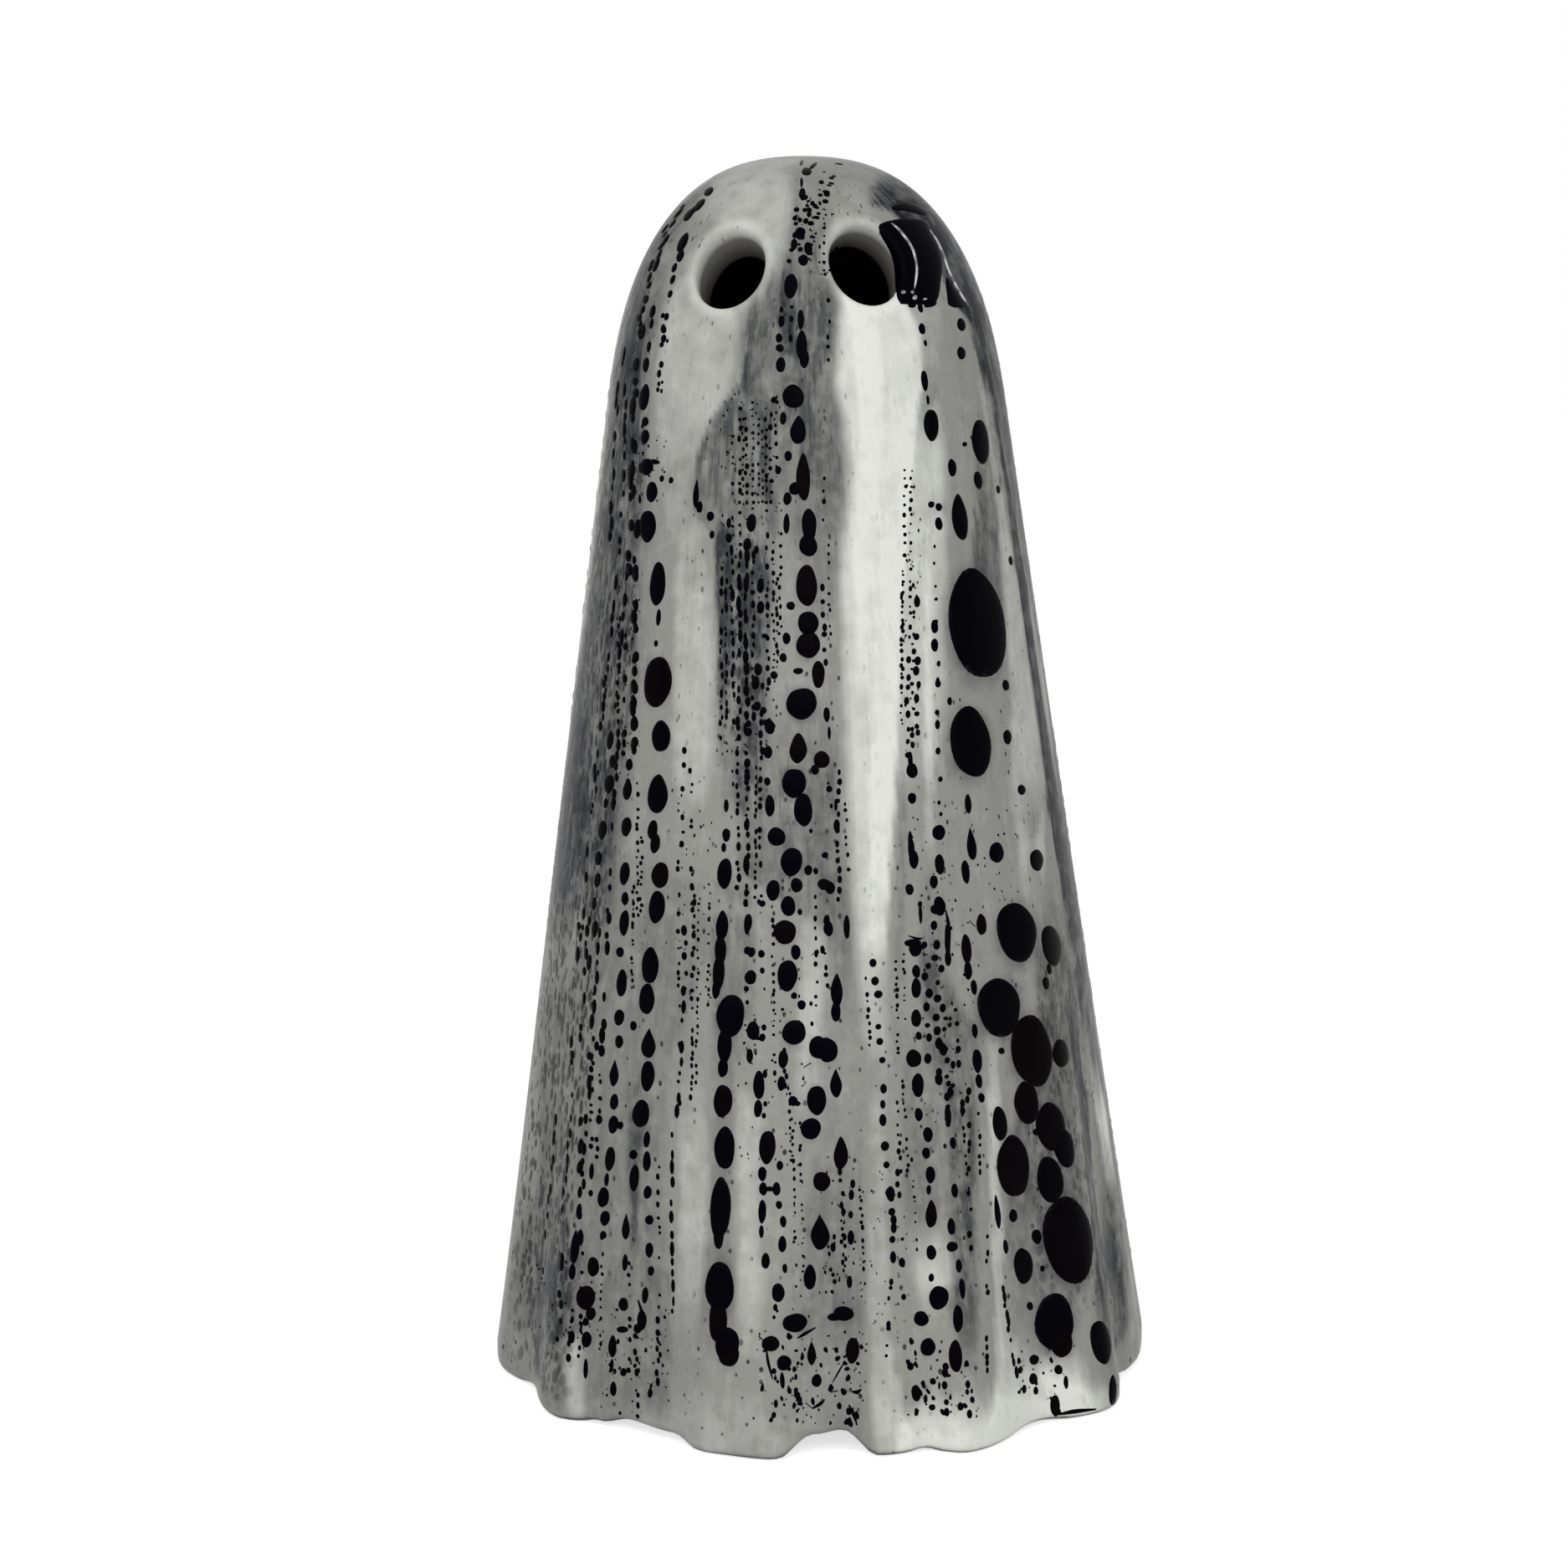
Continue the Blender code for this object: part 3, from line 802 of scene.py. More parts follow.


# Drops: what each big or middling drop of black glaze covers in the photograph, read as centre x, centre y,
# half width, half height, and where it is not 0 how far it narrows to its top.
drops = {
    "right shoulder": (
        (1168, 746, 33, 66), (1160, 887, 24, 42), (1147, 618, 10, 27, 0.3), (1172, 528, 10, 27),
        (1113, 508, 9, 19), (1105, 455, 4, 13), (1138, 559, 5, 11), (1169, 574, 5, 11),
        (1122, 626, 4.5, 8), (1113, 603, 4, 4), (1122, 606, 4, 5), (1117, 749, 4.5, 8),
        (1117, 771, 4.5, 8), (1096, 719, 4, 7), (1149, 388, 5, 8), (1149, 422, 5, 8),
        (1153, 531, 3, 3), (1193, 585, 2.5, 5), (1208, 670, 2.5, 6), (1121, 817, 3.5, 5),
        (1135, 838, 3, 5), (1202, 819, 4, 7), (1204, 881, 5, 9), (1221, 944, 5, 6),
        (1157, 961, 4, 12), (1161, 1009, 6, 20, 0.6), (1154, 1042, 5, 14), (1122, 995, 8, 9),
        (1123, 1033, 6, 12), (1191, 1019, 9, 12), (1239, 1028, 8, 13), (1100, 368, 3, 6),
        (1102, 393, 4, 7), (1106, 410, 2, 4), (1109, 478, 2, 6),
    ),
    "right flank": (
        (1215, 1114, 23, 36), (1257, 1130, 12, 24), (1254, 1158, 3, 7), (1250, 1175, 4, 8),
        (1194, 1204, 26, 34), (1233, 1256, 24, 43), (1268, 1259, 10, 17), (1227, 1318, 15, 25),
        (1256, 1347, 17, 30), (1272, 1372, 12, 24), (1255, 1410, 16, 27), (1211, 1394, 19, 37),
        (1195, 1343, 9, 20), (1277, 1482, 29, 53), (1260, 1580, 23, 34), (1268, 1602, 14, 20),
        (1316, 1604, 12, 27), (1223, 1513, 11, 22), (1239, 1478, 6, 9), (1155, 1134, 6, 18),
        (1157, 1160, 5, 11), (1173, 1105, 6, 13), (1164, 1180, 4, 9), (1123, 1083, 7, 12),
        (1132, 1125, 3.5, 20, 0.5), (1133, 1145, 4, 10), (1168, 1268, 6, 14), (1170, 1292, 4, 9),
        (1173, 1312, 4, 6), (1165, 1232, 3.5, 9), (1197, 1256, 4, 4), (1192, 1448, 4, 20, 0.4),
        (1211, 1453, 5, 8), (1202, 1490, 3, 9), (1231, 1561, 4, 5), (1236, 1625, 6, 6),
        (1235, 1648, 5, 7), (1265, 1637, 5, 6), (1238, 1662, 3, 5), (1274, 1652, 3, 8),
        (1246, 1516, 3, 4), (1261, 1680, 6, 13), (1330, 1662, 5, 18), (1238, 1353, 4, 4),
    ),
    "right of centre": (
        (1094, 1134, 8, 9), (1091, 1127, 10, 5), (1095, 1161, 5, 8), (1095, 1181, 6, 12),
        (1095, 1217, 6, 11), (1098, 1238, 4, 5), (1092, 1265, 9, 11), (1097, 1297, 7, 15),
        (1098, 1332, 5, 8), (1109, 1356, 6, 9), (1107, 1378, 5, 7), (1112, 1404, 6, 10),
        (1110, 1422, 3, 6), (1113, 1451, 7, 17, 0.3), (1113, 1497, 6, 9), (1122, 1551, 12, 14),
        (1145, 1576, 6, 17), (1142, 1621, 8, 20), (1109, 1610, 9, 11), (1101, 1576, 9, 9),
        (1095, 1665, 6, 10), (1137, 1466, 5, 10), (1138, 1490, 7, 6), (1146, 1513, 4, 8),
        (1150, 1540, 3.5, 13), (1141, 1423, 4, 9), (1113, 1527, 3.5, 5), (1078, 1509, 4, 6),
        (1068, 1458, 4, 6), (1062, 1426, 4, 6), (1080, 1550, 3, 4), (1088, 1633, 4, 5),
        (1103, 1131, 3, 4), (1100, 1090, 2.5, 14, 0.5), (1117, 1087, 5, 6), (1127, 1254, 5, 8),
        (1122, 1290, 5, 7), (1136, 1305, 4, 6), (1133, 1333, 4, 12), (1139, 1366, 4, 7),
        (1115, 1651, 4, 4), (1114, 1682, 4, 4), (1148, 1681, 4, 5), (1162, 1673, 3, 4),
        (1092, 1027, 6, 11), (1088, 1005, 3, 12), (1090, 954, 5, 7), (1090, 921, 7, 9),
        (1088, 908, 3, 10), (1116, 1054, 5, 8), (1089, 1014, 4, 14), (1087, 1063, 5, 7),
    ),
    "centre column": (
        (948, 474, 13, 14), (954, 514, 10, 17, 0.4), (960, 570, 9, 28, 0.3), (950, 584, 7, 8),
        (967, 628, 9, 20), (966, 652, 11, 13), (964, 700, 13, 24), (966, 745, 12, 15),
        (966, 771, 14, 16), (978, 806, 8, 16), (958, 841, 18, 19), (954, 894, 11, 18, 0.4),
        (982, 908, 10, 10), (974, 920, 5, 6), (949, 936, 14, 18), (960, 968, 11, 20),
        (928, 1000, 11, 11), (946, 1030, 13, 17), (924, 1064, 8, 13), (952, 1058, 7, 9),
        (942, 1083, 9, 12), (938, 1114, 13, 15), (941, 1166, 12, 19), (951, 1138, 6, 9),
        (949, 1234, 14, 15), (978, 1252, 11, 14), (1000, 1183, 8, 19, 0.5), (999, 1209, 6, 12),
        (989, 1255, 12, 15), (999, 1294, 8, 17, 0.8), (976, 1315, 12, 17), (969, 1349, 12, 13),
        (948, 1316, 6, 6), (953, 1319, 4, 3), (1005, 1378, 9, 20, 0.5), (982, 1412, 10, 12),
        (980, 1472, 12, 22, 0.9), (968, 1526, 8, 15, 0.3), (930, 1545, 8, 11), (950, 1581, 15, 11),
        (1008, 1570, 12, 9), (997, 1574, 8, 5), (921, 1606, 11, 9), (937, 1629, 9, 9),
        (935, 1650, 3, 10), (970, 1617, 6, 14, 0.7), (1019, 1614, 8, 16), (976, 1650, 6, 8),
        (983, 1135, 3, 5), (990, 1110, 6, 9), (988, 1100, 4, 7), (1012, 1108, 4, 14),
        (949, 1190, 4, 4), (966, 1040, 5, 6), (956, 1090, 3, 4), (985, 1057, 8, 7),
        (992, 1061, 6, 8), (958, 1201, 5, 6), (986, 1022, 4, 4), (976, 1138, 3, 3),
    ),
    "crown and between the eyes": (
        (945, 342, 8, 15), (956, 279, 6, 8), (949, 292, 4, 7), (943, 312, 3, 3),
        (960, 311, 6, 7), (966, 297, 5, 8), (958, 194, 2, 4), (964, 205, 6, 5), (958, 218, 2, 6),
        (959, 232, 4, 8), (972, 198, 6, 2), (971, 243, 3, 3), (962, 251, 3, 3), (967, 256, 3, 4),
        (974, 246, 3, 3), (969, 267, 4, 3), (956, 263, 3, 3), (934, 384, 4, 7), (934, 370, 2.5, 4),
        (931, 404, 4, 6), (932, 416, 5, 5), (936, 500, 4, 8), (933, 436, 6, 9), (957, 382, 4, 12),
        (958, 412, 7, 18, 0.3), (961, 428, 6, 12), (945, 407, 2.5, 2), (942, 545, 4.5, 6.5),
        (925, 478, 4, 4), (930, 562, 4, 5),
    ),
    "middle left": (
        (832, 590, 4, 17, 0.5), (836, 606, 4, 7), (849, 617, 4.5, 6), (851, 639, 3, 5),
        (871, 625, 3, 6), (871, 643, 4, 6), (898, 625, 6, 11), (893, 651, 5, 8),
        (941, 596, 5, 8), (940, 626, 4, 12), (909, 700, 4.5, 9), (909, 726, 4.5, 8),
        (945, 724, 5.5, 5), (940, 763, 5, 7), (936, 786, 4.5, 5.5), (925, 807, 4.5, 5),
        (954, 802, 6, 4), (906, 800, 5, 7.5), (903, 816, 5, 8), (905, 844, 4.5, 6),
        (895, 875, 4, 5), (893, 912, 4, 6), (893, 928, 4, 5.5), (920, 869, 6, 9),
        (918, 899, 5, 8), (917, 934, 4, 5), (920, 963, 6, 13), (893, 985, 3, 8),
        (892, 1033, 4, 11), (892, 1067, 3, 5), (893, 1105, 4, 12), (988, 854, 4, 9),
        (991, 876, 2, 8), (1000, 987, 4, 8), (991, 943, 4, 4), (999, 962, 2, 8),
        (911, 1080, 4, 4), (910, 1140, 4, 5), (898, 1138, 5, 6), (911, 1160, 3, 4),
        (919, 866, 4, 8), (904, 657, 3, 5), (914, 760, 4, 3),
    ),
    "left of centre": (
        (866, 1044, 9, 18), (868, 998, 5, 8), (865, 1013, 3, 6), (868, 963, 3, 8),
        (863, 1106, 8, 18, 0.3), (861, 1136, 7, 18), (859, 1162, 7, 22), (856, 1182, 5, 12),
        (873, 1214, 17, 25), (866, 1250, 9, 20), (864, 1276, 6, 12), (864, 1316, 11, 20),
        (866, 1372, 12, 26), (861, 1444, 12, 38), (859, 1476, 6, 18), (860, 1538, 17, 30),
        (858, 1578, 11, 26), (869, 1606, 14, 20), (871, 1618, 12, 16), (917, 1371, 10, 20),
        (911, 1403, 5, 9), (912, 1421, 5, 8), (928, 1421, 5, 8), (920, 1421, 7, 3),
        (911, 1448, 5, 14), (910, 1472, 3, 8), (915, 1507, 5, 10), (931, 1440, 4, 5),
        (936, 1460, 4, 7), (935, 1487, 5, 10), (938, 1516, 3, 6), (907, 1297, 7, 17),
        (906, 1325, 5, 11), (900, 1232, 8, 11), (911, 1240, 4, 5), (897, 1168, 7, 9),
        (893, 1136, 4, 5), (894, 1103, 5, 11), (936, 1266, 6, 11), (934, 1295, 5, 9),
        (896, 1262, 4, 9), (891, 1079, 3, 5), (932, 1393, 4, 6), (913, 1228, 3, 4),
    ),
    "left column": (
        (770, 475, 6, 16), (759, 456, 4, 5), (760, 470, 4, 6), (756, 487, 4, 14),
        (771, 504, 4, 6), (771, 522, 5, 9), (758, 534, 4, 9), (773, 558, 8, 10), (782, 552, 7, 3),
        (755, 563, 4, 12), (779, 588, 7, 12), (802, 574, 3, 4), (791, 572, 3, 4),
        (757, 588, 3, 9), (774, 629, 10, 19), (762, 632, 5, 12), (786, 698, 9, 27),
        (787, 738, 3, 10), (786, 815, 16, 31), (790, 880, 11, 19), (786, 949, 12, 24, 0.2),
        (780, 992, 6, 12), (783, 1008, 6, 12), (789, 1046, 10, 16), (785, 1084, 10, 19),
        (777, 1154, 10, 22), (773, 1194, 9, 19), (775, 1247, 9, 18, 0.7), (774, 1286, 8, 19),
        (766, 1331, 10, 17), (784, 769, 2.5, 4), (773, 1362, 4, 10), (773, 1388, 5, 12),
        (774, 1425, 5, 8), (776, 1458, 5, 6), (776, 1494, 5, 9), (758, 1408, 6, 16),
        (748, 1466, 5, 16, 0.7), (747, 1509, 3.5, 10), (757, 1380, 5, 6), (771, 1548, 4, 10),
        (767, 1578, 6, 12), (762, 1588, 5, 6), (745, 1559, 6, 8), (744, 1589, 7, 4),
        (732, 1609, 5, 14, 0.2), (731, 1632, 2.5, 8), (733, 1660, 4, 9), (745, 1640, 4, 5),
        (757, 1226, 4, 6), (778, 1519, 4, 6), (777, 1665, 3, 6),
    ),
    "far left": (
        (759, 684, 4, 10), (760, 724, 3, 9), (760, 752, 3.5, 5), (760, 785, 4, 7),
        (759, 823, 4, 7), (757, 841, 4.5, 8), (758, 865, 5, 9), (757, 891, 3.5, 5),
        (752, 914, 4.5, 7), (750, 943, 6, 13, 0.5), (748.6, 988, 6, 12), (746.5, 1044, 6, 14),
        (747, 1074, 4.5, 8), (746, 1103, 6, 15), (741, 1138, 5, 6), (743, 1175, 6.5, 16),
        (740, 1216, 6, 10), (740, 1245, 5, 8), (734, 1282, 6, 16, 0.8), (734, 1317, 5, 10),
        (733, 1344, 6, 11), (729, 1385, 6, 15), (741, 1345, 4, 5), (729, 885, 4, 11),
        (732, 910, 4, 8), (728, 937, 6, 11), (724, 960, 3, 6), (720, 992, 5, 12),
        (715, 1026, 4, 9), (714, 1052, 4, 9), (710, 1080, 3, 8), (725, 1410, 3, 8),
        (721, 1431, 7, 12), (723, 1456, 6, 9), (721, 1476, 4, 5), (692, 1448, 3.5, 10),
        (693, 1395, 4, 8), (694, 1370, 4, 9), (687, 1490, 6, 20, 0.5), (684, 1520, 4, 10),
        (709, 1514, 7, 12), (700, 1551, 11, 15), (706, 1570, 6, 8), (700, 1580, 4, 5),
        (683, 1598, 4, 8), (701, 1601, 6, 10), (700, 1636, 3, 12), (706, 1426, 3, 4),
        (707, 1400, 3, 10), (693, 1425, 3, 7), (716, 1338, 4, 6), (694, 1340, 3, 6),
        (704, 1262, 3, 5), (713, 1250, 3, 6), (711, 1110, 4, 10), (704, 1150, 3, 10),
    ),
    "left brow": (
        (836, 245, 4, 9), (823, 257, 4, 9), (829, 251, 3, 7), (816, 290, 5, 13), (813, 306, 4, 8),
        (806, 320, 3, 6), (804, 334, 3, 6), (801, 352, 2, 4), (767, 397, 4, 10),
        (772, 358, 3, 6), (772, 436, 4, 9), (760, 436, 4, 9), (764, 380, 3, 6), (847, 229, 4, 7),
    ),
}

# Strings of small beads: half width, spacing, how long a bead is for its width, share missing,
# then the pixels of the photograph that the string passes.
strings = {
    "leaf to the waist": (
        (1.7, 11, 1.2, 0.15, (876, 520), (876, 640)), (2.0, 12, 1.3, 0.1, (884, 490), (884, 650)),
        (2.0, 11, 1.3, 0.1, (892, 500), (892, 600)), (1.6, 9, 1.2, 0.1, (900, 480), (900, 610)),
        (1.6, 9, 1.2, 0.1, (907, 500), (907, 600)), (2.0, 10, 1.3, 0.1, (915, 500), (915, 610)),
        (2.2, 12, 1.3, 0.1, (921, 470), (921, 600)), (2.0, 12, 1.2, 0.1, (928, 480), (928, 560)),
        (1.5, 9, 1.2, 0.15, (888, 500), (888, 600)), (1.5, 9, 1.2, 0.15, (911, 515), (911, 600)),
        (1.8, 12, 2.2, 0.1, (862, 655), (862, 880)), (1.6, 11, 2.2, 0.1, (868, 660), (868, 860)),
        (2.2, 13, 2.2, 0.1, (875, 660), (877, 860)), (2.4, 14, 2.4, 0.1, (884, 660), (884, 850)),
        (2.8, 14, 2.2, 0.1, (892, 660), (892, 870)), (2.2, 12, 1.6, 0.15, (900, 660), (900, 860)),
        (2.2, 12, 1.6, 0.2, (917, 640), (918, 850)), (1.8, 9, 1.4, 0.15, (924, 650), (924, 800)),
        (2.0, 12, 1.4, 0.3, (933, 640), (932, 760)), (1.8, 9, 1.4, 0.2, (929, 690), (929, 790)),
        (2.4, 10, 1.6, 0.1, (882, 850), (882, 1060)), (2.6, 11, 1.5, 0.1, (893, 840), (893, 1080)),
        (1.8, 9, 1.6, 0.15, (903, 920), (903, 1070)), (2.2, 11, 1.5, 0.3, (909, 840), (909, 1080)),
        (3.0, 13, 1.3, 0.4, (913, 820), (912, 900)), (1.8, 12, 1.6, 0.4, (876, 870), (876, 950)),
    ),
    "waist to the hem, left": (
        (2.6, 15, 1.3, 0.35, (818, 900), (816, 1010)), (2.2, 14, 1.3, 0.3, (826, 920), (828, 1120)),
        (2.8, 17, 1.5, 0.25, (817, 1040), (819, 1160)), (2.0, 10, 1.4, 0.3, (811, 1030), (812, 1320)),
        (2.0, 9, 1.4, 0.25, (829, 1060), (826, 1330)), (1.6, 8, 1.3, 0.3, (835, 1080), (832, 1300)),
        (2.6, 22, 2.2, 0.3, (818, 1180), (806, 1400)), (1.6, 9, 1.3, 0.3, (847, 1040), (846, 1200)),
        (1.8, 8, 1.3, 0.2, (762, 950), (762, 1092)), (1.6, 7, 1.2, 0.2, (757, 1060), (755, 1180)),
        (1.8, 8, 1.2, 0.3, (767, 1000), (766, 1090)), (2.2, 16, 2.6, 0.2, (803, 1360), (804, 1570)),
        (2.0, 12, 1.4, 0.3, (787, 1380), (788, 1620)), (2.2, 12, 1.4, 0.3, (752, 1500), (752, 1650)),
        (2.4, 12, 1.4, 0.3, (760, 1600), (762, 1690)), (2.4, 11, 1.5, 0.3, (786, 1580), (786, 1650)),
        (1.8, 9, 1.3, 0.4, (720, 1480), (716, 1640)), (2.0, 10, 1.3, 0.4, (709, 1180), (706, 1370)),
        (2.0, 9, 1.3, 0.4, (720, 1230), (712, 1400)), (2.8, 14, 1.6, 0.3, (893, 1180), (896, 1240)),
        (1.8, 9, 1.3, 0.3, (923, 1100), (926, 1290)), (2.2, 11, 1.3, 0.3, (930, 1130), (940, 1300)),
        (1.7, 10, 1.2, 0.3, (947, 1340), (953, 1600)), (1.7, 9, 1.2, 0.3, (956, 1340), (960, 1520)),
        (1.7, 9, 1.2, 0.4, (943, 1300), (945, 1440)), (2.4, 13, 1.6, 0.4, (926, 1560), (926, 1690)),
        (2.4, 14, 1.6, 0.4, (952, 1630), (952, 1700)), (3.0, 14, 1.5, 0.4, (914, 1280), (914, 1350)),
    ),
    "beside the white run": (
        (2.0, 11, 1.2, 0.2, (1082, 560), (1078, 800)), (1.8, 9, 1.2, 0.2, (1089, 570), (1087, 760)),
        (3.0, 14, 1.2, 0.15, (1086, 790), (1084, 900)), (3.4, 15, 1.3, 0.1, (1096, 760), (1096, 880)),
        (1.8, 8, 1.2, 0.2, (1078, 700), (1077, 860)), (2.2, 10, 1.2, 0.3, (1091, 690), (1091, 900)),
        (2.6, 26, 1.5, 0.2, (1121, 790), (1123, 980)), (2.0, 14, 1.2, 0.4, (1116, 640), (1120, 760)),
        (3.0, 15, 1.3, 0.15, (1100, 1060), (1100, 1100)), (4.0, 17, 1.2, 0.1, (1106, 1095), (1110, 1260)),
        (3.6, 16, 1.2, 0.15, (1117, 1110), (1121, 1280)), (3.0, 13, 1.2, 0.2, (1126, 1160), (1134, 1340)),
        (2.4, 12, 1.2, 0.3, (1134, 1190), (1140, 1300)), (2.6, 14, 1.3, 0.2, (1142, 1180), (1150, 1330)),
        (1.8, 8, 1.2, 0.15, (1071, 1150), (1073, 1260)), (1.6, 8, 1.2, 0.2, (1080, 1140), (1082, 1220)),
        (1.8, 9, 1.2, 0.2, (1035, 1160), (1040, 1250)), (4.2, 24, 1.3, 0.05, (1045, 1145), (1062, 1420)),
        (1.8, 9, 1.2, 0.2, (1079, 1290), (1085, 1400)), (2.0, 9, 1.2, 0.3, (1072, 1320), (1076, 1400)),
        (2.6, 11, 1.5, 0.1, (1002, 925), (1002, 1075)), (2.0, 10, 1.3, 0.3, (1011, 960), (1013, 1040)),
        (2.2, 10, 1.3, 0.3, (1066, 1500), (1060, 1620)), (2.4, 14, 1.4, 0.3, (1073, 1400), (1078, 1480)),
        (1.5, 8, 1.2, 0.4, (1090, 1380), (1096, 1500)), (2.6, 15, 1.4, 0.3, (1157, 1300), (1160, 1490)),
        (1.6, 9, 1.3, 0.3, (1150, 1330), (1158, 1420)), (3.2, 18, 1.6, 0.3, (1064, 1410), (1068, 1500)),
    ),
    "right hem": (
        (2.0, 9, 1.6, 0.2, (1180, 1480), (1180, 1640)), (2.0, 10, 1.6, 0.2, (1170, 1330), (1172, 1400)),
        (2.2, 10, 2.2, 0.1, (1199, 1540), (1214, 1640)), (2.6, 13, 1.3, 0.3, (1214, 1610), (1224, 1660)),
        (3.0, 14, 1.3, 0.3, (1130, 1630), (1132, 1700)), (2.4, 12, 1.8, 0.3, (1108, 1660), (1134, 1700)),
        (2.2, 12, 1.6, 0.3, (1005, 1400), (1012, 1540)), (3.4, 22, 2.0, 0.2, (1018, 1410), (1016, 1530)),
        (2.6, 12, 1.4, 0.3, (996, 1480), (996, 1560)), (1.8, 8, 1.3, 0.3, (1028, 1420), (1034, 1540)),
        (2.0, 9, 1.3, 0.3, (1005, 1440), (1008, 1520)), (2.2, 9, 1.2, 0.4, (990, 1490), (994, 1540)),
        (2.6, 12, 1.3, 0.4, (1155, 1640), (1160, 1690)), (1.6, 9, 1.2, 0.4, (1092, 1400), (1094, 1440)),
    ),
    "centre small": (
        (2.6, 12, 1.2, 0.25, (960, 236), (972, 262)), (2.8, 9, 1.2, 0.15, (985, 205), (976, 262)),
        (2.4, 9, 1.2, 0.15, (1001, 196), (985, 240)), (2.6, 10, 1.2, 0.3, (952, 250), (946, 300)),
        (1.8, 10, 1.2, 0.2, (986, 250), (985, 330)), (2.0, 12, 1.4, 0.3, (946, 365), (946, 400)),
        (2.6, 10, 1.2, 0.3, (966, 240), (955, 300)), (2.0, 9, 1.2, 0.3, (978, 262), (965, 320)),
        (2.0, 12, 1.3, 0.2, (990, 360), (991, 440)), (2.2, 12, 1.4, 0.3, (985, 560), (985, 620)),
        (2.6, 14, 1.4, 0.2, (984, 690), (986, 790)), (1.6, 10, 1.3, 0.3, (990, 640), (992, 760)),
        (2.0, 11, 1.4, 0.3, (975, 1060), (976, 1200)), (2.4, 12, 1.4, 0.25, (985, 1130), (990, 1180)),
        (2.6, 12, 1.3, 0.3, (970, 990), (975, 1040)), (2.2, 12, 1.3, 0.3, (988, 910), (992, 960)),
        (2.2, 14, 1.3, 0.4, (968, 1200), (970, 1240)), (1.6, 10, 1.3, 0.3, (955, 1220), (960, 1300)),
    ),
    "left cheek": (
        (2.4, 12, 1.5, 0.2, (800, 350), (790, 420)), (2.2, 11, 1.4, 0.2, (793, 380), (786, 480)),
        (1.8, 10, 1.4, 0.2, (798, 400), (791, 470)), (2.6, 14, 1.8, 0.2, (783, 360), (772, 430)),
        (2.4, 14, 2.0, 0.2, (778, 320), (762, 400)), (2.4, 14, 2.0, 0.2, (797, 270), (780, 330)),
        (2.4, 13, 2.2, 0.2, (812, 250), (790, 300)), (2.6, 13, 1.8, 0.2, (756, 500), (752, 680)),
        (2.2, 14, 2.4, 0.2, (747, 470), (741, 660)), (2.2, 14, 2.4, 0.2, (765, 560), (766, 600)),
        (3.2, 16, 1.6, 0.1, (759, 670), (758, 900)), (2.0, 10, 1.4, 0.3, (768, 500), (770, 560)),
        (2.2, 14, 2.6, 0.2, (738, 480), (728, 640)), (2.2, 15, 2.6, 0.2, (745, 420), (736, 480)),
        (2.4, 12, 1.5, 0.3, (748, 760), (745, 900)), (2.0, 9, 1.3, 0.3, (740, 740), (738, 860)),
    ),
    "far left flecks": (
        (2.2, 15, 2.6, 0.3, (752, 660), (735, 840)), (2.0, 14, 2.4, 0.4, (736, 700), (718, 870)),
        (2.2, 14, 2.4, 0.4, (724, 800), (712, 940)), (2.4, 14, 2.0, 0.25, (741, 860), (734, 960)),
        (2.2, 15, 2.2, 0.4, (733, 960), (726, 1090)), (2.2, 14, 2.2, 0.5, (712, 900), (694, 1120)),
        (2.8, 17, 2.2, 0.25, (727, 1100), (718, 1260)), (2.4, 16, 2.2, 0.3, (718, 1100), (708, 1220)),
        (2.4, 14, 2.0, 0.4, (692, 1110), (680, 1300)), (2.4, 15, 2.0, 0.4, (704, 1080), (694, 1240)),
        (2.4, 15, 2.2, 0.3, (706, 1260), (692, 1480)), (2.2, 14, 2.2, 0.45, (684, 1310), (668, 1500)),
        (2.2, 14, 2.2, 0.5, (664, 1340), (648, 1520)), (2.4, 15, 1.8, 0.4, (672, 1500), (666, 1620)),
        (2.2, 13, 1.6, 0.35, (686, 1520), (680, 1620)), (2.0, 12, 1.5, 0.4, (696, 1500), (692, 1620)),
    ),
}


# Seeds of the random draws, one for each piece
seeds = {"drops": 11, "reflectionLines": 5, "frontBeads": 3, "backBeads": 8}


# Relief in the glaze: every drop is a low dome that sits on the skin it is seen on. A ring is how
# wide it is, how high (below 0 in mm, else a share of the height), and how near to the edge.
dropShape = {
    "sides": 30,
    "rings": ((1.0, -0.03, 1.0), (0.92, 0.35, 0.7), (0.74, 0.7, 0.25), (0.45, 0.93, 0.0), (0.0, 1.0, 0.0)),
    "height": 0.075,                          # share of the half width, on top of the base
    "base": 0.03 * mm,
    "mostHeight": 0.16 * mm,
    "wobble": 0.07,
    "overreach": 1.04,
}


class Relief:
    def __init__(self):
        self.points, self.faces, self.edges, self.tones = [], [], [], []

    def point(self, place, edge, tone):
        self.points.append(place)
        self.edges.append(edge)
        self.tones.append(tone)
        return len(self.points) - 1

    def rows(self, first, second, closed):
        count = len(first)
        for k in range(count if closed else count - 1):
            after = (k + 1) % count
            self.faces.append((first[k], first[after], second[after], second[k]))

    def finish(self, name, material):
        mesh = bpy.data.meshes.new(name)
        mesh.from_pydata(self.points, [], self.faces)
        mesh.update()
        setAttribute(mesh, "edge", self.edges)
        setAttribute(mesh, "tone", self.tones)
        mesh.materials.append(material)
        mesh.shade_smooth()
        piece = bpy.data.objects.new(name, mesh)
        collection.objects.link(piece)
        return piece


